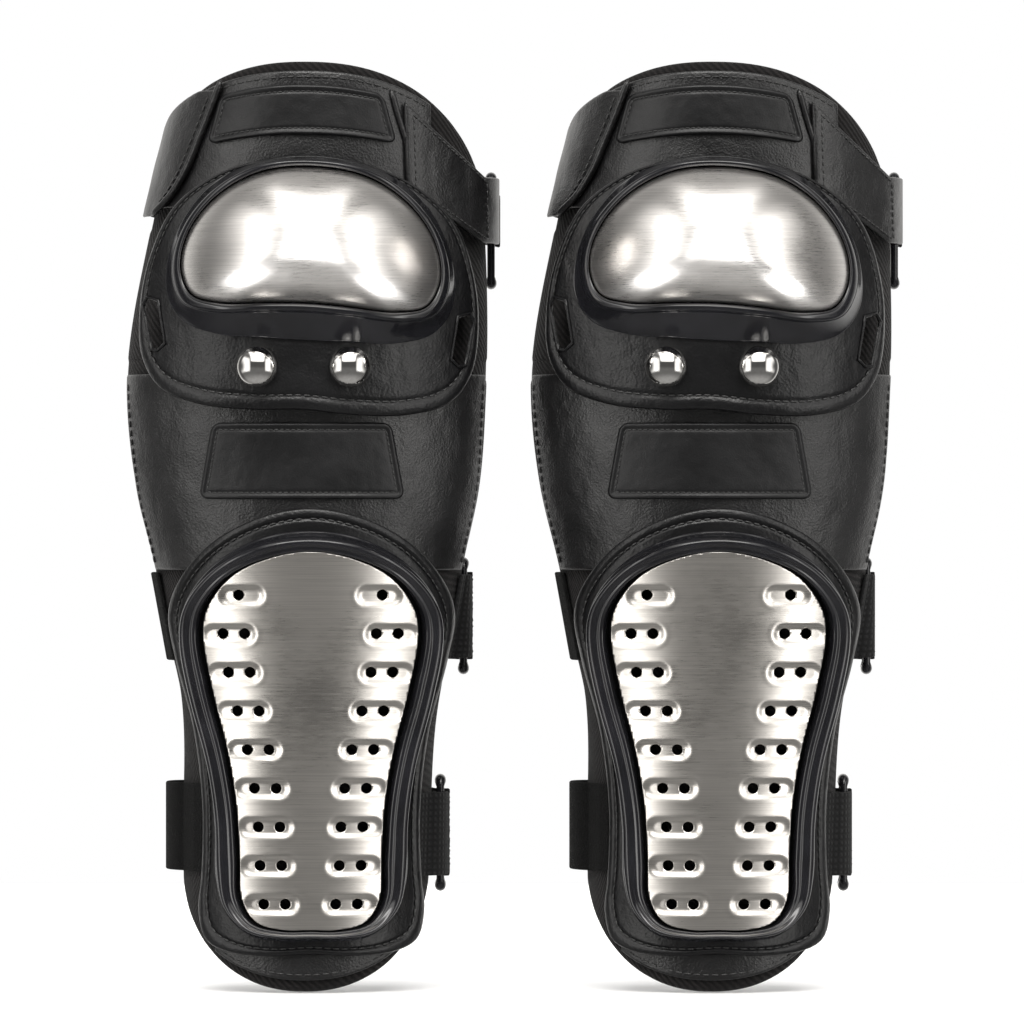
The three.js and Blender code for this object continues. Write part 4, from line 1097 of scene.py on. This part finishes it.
# the angles of a strap's sewn end, how it swings round the inner side, and how it narrows and slopes
ROUTES = {
    "thigh": {"sewn": [-84, -90], "swing": (THIGH_BEND_HALF - 3, 4, 8, 42), "taper": -0.2, "slope": -0.17},
    "middle": {"sewn": [-72, -75, -84], "swing": ((KNEE_HALF + SHIN_HALF) / 2 - 3.5, -4, 6, 40),
               "taper": 0.18, "slope": 0.0},
    "lower": {"sewn": [-52, -60, -72], "swing": (SHIN_HALF + 5, -10, 4, 40), "taper": 0.0, "slope": -0.03},
}
TABS = {"middle": [75, 84], "lower": [56, 60, 72]}


def bezier(points, count):
    t = np.linspace(0, 1, count)[:, None]
    p = np.asarray(points, float)
    if len(p) == 3:
        return (1 - t) ** 2 * p[0] + 2 * t * (1 - t) * p[1] + t * t * p[2]
    return (1 - t) ** 3 * p[0] + 3 * t * (1 - t) ** 2 * p[1] + 3 * t * t * (1 - t) * p[2] + t ** 3 * p[3]


def arc(x, y, radius, start, end, count):
    t = np.linspace(start, end, count)
    return np.stack([x + radius * np.cos(t), y + radius * np.sin(t)], -1)


def strap_path(name, above):
    bx, by, bz = BUCKLES[name]
    route = ROUTES[name]
    sx, lead, sy, corner = route["swing"]
    sx = sx + route["taper"] * above
    rear = REAR - THICK / 2
    bar_y, inner_x = by + WINDOW, bx - TURN
    offset = 0.7 + THICK / 2
    height = lambda x: bz + above + route["slope"] * (x - bx)
    root = [sleeve(d, height(sleeve(d, bz, offset)[..., 0]), offset)[:2] for d in route["sewn"]]
    path = list(root)
    path += list(bezier([path[-1], (-sx, lead), (-sx, sy)], 12)[1:])
    path += list(bezier([(-sx, sy), (-sx, corner), (-FLAT * 1.8, rear), (-FLAT, rear)], 24)[1:])
    path += list(bezier([(FLAT, rear), (FLAT * 2, rear), (inner_x, corner), (inner_x, bar_y)], 24))
    path += list(arc(bx, bar_y, TURN, math.pi, 2 * math.pi, 16)[1:])
    path += [(bx + TURN, bar_y + 2)]
    path = even(path, 0.9)
    z = height(path[:, 0])
    if name == "thigh":  # it narrows towards its buckle
        near = np.clip((path[:, 0] - 25) / 40, 0, 1)
        z = z + near * near * (3 - 2 * near) * (5 - 0.4 * above)
    return np.column_stack([path, z])


def ribbon_mesh(low, high, thickness, rows=14, edge=0.8, rough=0.0):
    """A band between two edge lines, with rounded edges. Flat coordinates run along and across it."""
    share = spaced(38, rows, edge)[:, None, None]
    mid = low[None] + (high - low)[None] * share
    along = np.gradient(mid, axis=1)
    normal = np.stack([along[..., 1], -along[..., 0], np.zeros(along.shape[:2])], -1)
    normal /= np.maximum(np.linalg.norm(normal, axis=-1, keepdims=True), 1e-9)
    run, across = lengths(mid, 1), lengths(mid, 0)
    d = np.minimum.reduce([run, run[:, -1:] - run, across, across[-1:] - across])
    half = thickness / 2 * np.sqrt(1 - (1 - np.clip(d / edge, 0, 1)) ** 2)
    lump = wrinkle(mid, 0.9, rough) if rough else 0.0
    front = mid + normal * (half + lump)[..., None]
    back = mid - normal * half[..., None]
    n_rows, n_cols = half.shape
    verts = np.concatenate([front.reshape(-1, 3), back.reshape(-1, 3)])
    faces = grid_faces(n_rows, n_cols) + grid_faces(n_rows, n_cols, n_rows * n_cols, flip=True)
    flat = np.stack([run, across], -1).reshape(-1, 2)
    return verts, faces, np.concatenate([flat, flat + [0, 100]])


def strap(name):
    low, high = strap_path(name, -STRAP / 2), strap_path(name, STRAP / 2)
    count = min(len(low), len(high))
    low, high = (line[np.linspace(0, len(line) - 1, count).round().astype(int)] for line in (low, high))
    if name == "thigh":
        make("thigh_strap", ribbon_mesh(low, high, THICK), "elastic_webbing", "thigh")
    else:
        shape = ribbon_mesh(low, high, THICK, 44, rough=0.55)
        make(f"{name}_strap", shape, "loop_pile", "shin")


def strap_tongue(name):
    """The strap's hooked end, folded back outside it from the buckle."""
    bx, by, bz = BUCKLES[name]
    outside = (THICK + HOOK) / 2 + 0.4
    corner, slope = ROUTES[name]["swing"][3], ROUTES[name]["slope"]
    rear = REAR - THICK / 2
    curve = bezier([(bx - TURN, by + WINDOW), (bx - TURN, corner), (FLAT * 2, rear), (FLAT, rear)], 101)
    tangent = np.gradient(curve, axis=0)
    tangent /= np.linalg.norm(tangent, axis=1, keepdims=True)
    shifted = curve + np.stack([tangent[:, 1], -tangent[:, 0]], -1) * outside
    line = even(even(np.vstack([[(bx + TURN, by + WINDOW + 3.4)], shifted[25:76]])), 0.9)
    near = np.clip((line[:, 0] - 25) / 40, 0, 1) if name == "thigh" else 0.0

    def edge_line(above):
        narrow = near * near * (3 - 2 * near) * (5 - 0.4 * above)
        return np.column_stack([line, bz + above + slope * (line[:, 0] - bx) + narrow])

    half = STRAP / 2 - 1
    shape = ribbon_mesh(edge_line(-half), edge_line(half), HOOK, 44, rough=0.5)
    make(f"{name}_strap_tongue", shape, "loop_pile", f"{name}_tongue")


def buckle(name):
    """A wire loop with rounded corners, thicker at both ends."""
    bx, by, bz = BUCKLES[name]
    corner_r, steps = 4.0, 8
    path = []
    for sy, sz, start in ((1, 1, 0), (-1, 1, 90), (-1, -1, 180), (1, -1, 270)):
        for k in range(steps + 1):
            turn = math.radians(start + 90 * k / steps)
            path.append((sy * (WINDOW / 2 - corner_r) + corner_r * math.cos(turn),
                         sz * (HEIGHT / 2 - corner_r) + corner_r * math.sin(turn)))
    path = np.array(path)
    tangent = np.roll(path, -1, 0) - np.roll(path, 1, 0)
    tangent /= np.linalg.norm(tangent, axis=1, keepdims=True)
    turn = np.linspace(0, 2 * math.pi, 14, endpoint=False)
    path, tangent = dense_loop(path), dense_loop(tangent)
    swell = 1 + 0.45 * np.clip((np.abs(path[:, 1]) - 20) / 2.5, 0, 1)
    loops = []
    for p, t, radius in zip(path, tangent, BAR * swell):
        side, out = radius * np.sin(turn), radius * np.cos(turn)
        loops.append(np.stack([bx + side, by + WINDOW / 2 + p[0] + out * t[1], bz + p[1] - out * t[0]], -1))
    make(f"{name}_buckle", loops_mesh(loops), "gloss_black", f"{name}_buckle")


def tab_path(buckle, angles, offset, root_z, end_z):
    bx, by, bz = buckle
    root = [sleeve(d, root_z, offset)[:2] for d in angles]
    path = list(root)
    path += list(bezier([root[-1], (bx + TAB, root[-1][1] * 0.6), (bx + TAB, by)], 14)[1:])
    path += list(arc(bx, by, TAB, 0, math.pi, 16)[1:])
    path += [(bx - TAB, by - 3)]
    path = even(path)
    share = np.clip((path[:, 0] - root[0][0]) / (bx - TAB - root[0][0]), 0, 1)
    return np.column_stack([path, root_z + (end_z - root_z) * share])


def pick(line, share):
    """Points of a line of points at shares of their count."""
    at = np.linspace(0, 1, len(line))
    return np.stack([np.interp(share, at, line[:, k]) for k in range(3)], -1)


def tab_mesh(low, high, rows=14):
    share = np.linspace(0, 1, max(len(low), len(high)))
    low, high = pick(low, share), pick(high, share)
    return low, high, ribbon_mesh(low, high, LEATHER, rows)


def tabs():
    half = STRAP / 2 - 1
    for name, angles in TABS.items():
        bz = BUCKLES[name][2]
        ends = [tab_path(BUCKLES[name], angles, 0.7 + LEATHER / 2, z, z) for z in (bz - half, bz + half)]
        make(f"{name}_buckle_tab", tab_mesh(*ends)[2], "elastic_webbing", "shin")
    place = BUCKLES["thigh"]
    angles, offset = [33, 39, 45, 52, 60], SIDE_IN + LEATHER / 2
    low, high, shape = tab_mesh(tab_path(place, angles, offset, THIGH_BEND + 12, place[2] - 6),
                                tab_path(place, angles, offset, THIGH_TOP - 17, place[2] + 22.5), 24)
    make("buckle_side_panel", shape, "leather", "thigh")
    start, end, foot, top = 0.05, 0.56, 0.07, 0.93  # of the panel's length and width, where it is stitched
    along, across = np.linspace(start, end, 60), np.linspace(foot, top, 24)
    lines = []
    for t, v in ((along, foot), (along, top), (np.full(24, start), across), (np.full(24, end), across)):
        line = pick(low, t) + (pick(high, t) - pick(low, t)) * np.broadcast_to(v, t.shape)[:, None]
        out = np.stack([line[:, 0], line[:, 1], 0 * line[:, 0]], -1)
        lines.append(line + out / np.hypot(line[:, 0], line[:, 1])[:, None] * 0.95)
    stitches("buckle_side_stitching", lines, "thigh", 3.0)


for name in BUCKLES:
    strap(name)
    strap_tongue(name)
    buckle(name)
tabs()

# ---------------------------------------------------------------- floor, light and camera

reach, floor_z = 1.4, cad_box[0][2] - 0.0005
floor_mesh = bpy.data.meshes.new("floor")
floor_corners = [(side * reach, end * reach, floor_z) for side, end in ((-1, -1), (1, -1), (1, 1), (-1, 1))]
floor_mesh.from_pydata(floor_corners, [], [(0, 1, 2, 3)])
material, tree, shader = nodes_of("floor")
feed(shader, {"Base Color": (0.93, 0.93, 0.93, 1), "Roughness": 0.85})
floor_mesh.materials.append(material)
floor = bpy.data.objects.new("floor", floor_mesh)
floor.visible_glossy = False
floor.visible_shadow = False
bpy.context.scene.collection.objects.link(floor)


def softbox(name, place, aim, size, radiance, receiver, shape="RECTANGLE"):
    """A flat light for one piece."""
    lamp = bpy.data.lights.new(name, "AREA")
    lamp.shape = shape
    lamp.size, lamp.size_y = size
    lamp.energy = radiance * math.pi * size[0] * size[1]
    ob = bpy.data.objects.new(name, lamp)
    ob.location = place
    ob.rotation_euler = (Vector(aim) - Vector(place)).to_track_quat("-Z", "Y").to_euler()
    ob.visible_camera = False
    bpy.context.scene.collection.objects.link(ob)
    group = bpy.data.collections.new(name + "_receivers")
    group.objects.link(receiver)
    ob.light_linking.receiver_collection = group


softbox("floor_wash", (0, 0.2, 2.4), (0, 0, -0.267), (2.4, 2.4), 2.6, floor)
for guard, cup in made["knee_cup"].items():
    x, z = SIDES[guard] / 1000, 0.056
    softbox("cup_front", (x, -0.9, -0.04), (x, 0, z), (0.72, 1.15), 4.0, cup, "ELLIPSE")
    for side in (-1, 1):
        softbox("cup_low", (x + side * 0.62, -0.34, -0.68), (x, 0, 0.04), (0.36, 0.80), 6.0, cup)


def studio():
    """Light by direction: tall panels at both sides with a bright strip in each, and a lamp high in front."""
    world = bpy.data.worlds.new("studio")
    bpy.context.scene.world = world
    world.use_nodes = True
    tree = world.node_tree
    tree.nodes.clear()

    def combine(operation, *values):
        out = values[0]
        for value in values[1:]:
            out = math_node(tree, operation, out, value)
        return out

    def step(value, low, high):
        """Turns smoothly from 0 at low to 1 at high."""
        inputs = {"Value": value, "From Min": low, "From Max": high}
        return add(tree, "ShaderNodeMapRange", inputs, interpolation_type="SMOOTHSTEP").outputs["Result"]

    def band(value, low, high, soft):
        """1 between low and high, with soft edges."""
        return combine("MULTIPLY", step(value, low - soft, low + soft), step(value, high + soft, high - soft))

    direction = add(tree, "ShaderNodeTexCoord").outputs["Generated"]
    x, y, z = add(tree, "ShaderNodeSeparateXYZ", {0: direction}).outputs
    across = math_node(tree, "ABSOLUTE", x)
    in_front = step(y, 0.15, -0.1)
    lights = [
        (band(across, 0.6, 0.95, 0.06), band(z, -0.35, 0.6, 0.1), in_front, 1.15),  # side panels
        (band(across, 0.74, 0.84, 0.03), band(z, -0.3, 0.5, 0.06), in_front, 3.6),  # their strips
        (step(across, 0.6, 0.4), band(z, 0.4, 0.92, 0.08), in_front, 2.4),  # overhead
        (step(across, 0.42, 0.34), band(z, 0.62, 0.8, 0.04), in_front, 9.0),  # lamp
        (step(z, 0.5, 0.95), 0.2),  # top
        (step(y, 0.25, 0.75), 1.1),  # behind
        (step(z, -0.5, -0.95), 0.2),  # ground
        (step(z, 0.05, -0.25), in_front, 0.07),  # haze low in front
    ]
    strength = combine("ADD", *(combine("MULTIPLY", *factors) for factors in lights), 0.085)
    paths = add(tree, "ShaderNodeLightPath")
    seen = add(tree, "ShaderNodeBackground", {"Color": (1, 1, 1, 1), "Strength": 1.0})
    lit = add(tree, "ShaderNodeBackground", {"Color": (1, 0.985, 0.96, 1), "Strength": strength})
    inputs = {0: paths.outputs["Is Camera Ray"], 1: lit.outputs[0], 2: seen.outputs[0]}
    add(tree, "ShaderNodeOutputWorld", {"Surface": add(tree, "ShaderNodeMixShader", inputs).outputs[0]})


studio()
bpy.context.scene.view_settings.view_transform = "Standard"

camera_data = bpy.data.cameras.new("camera")
camera = bpy.data.objects.new("camera", camera_data)
distance, frame_width = 5.0, 0.4403
camera_data.sensor_width = 36.0
camera_data.lens = 36.0 * (distance - 0.035) / frame_width
camera_data.clip_end = 60.0
camera.location = (0.0017, -distance, -0.061)
camera.rotation_euler = (math.pi / 2, 0, 0)
bpy.context.scene.collection.objects.link(camera)
bpy.context.scene.camera = camera
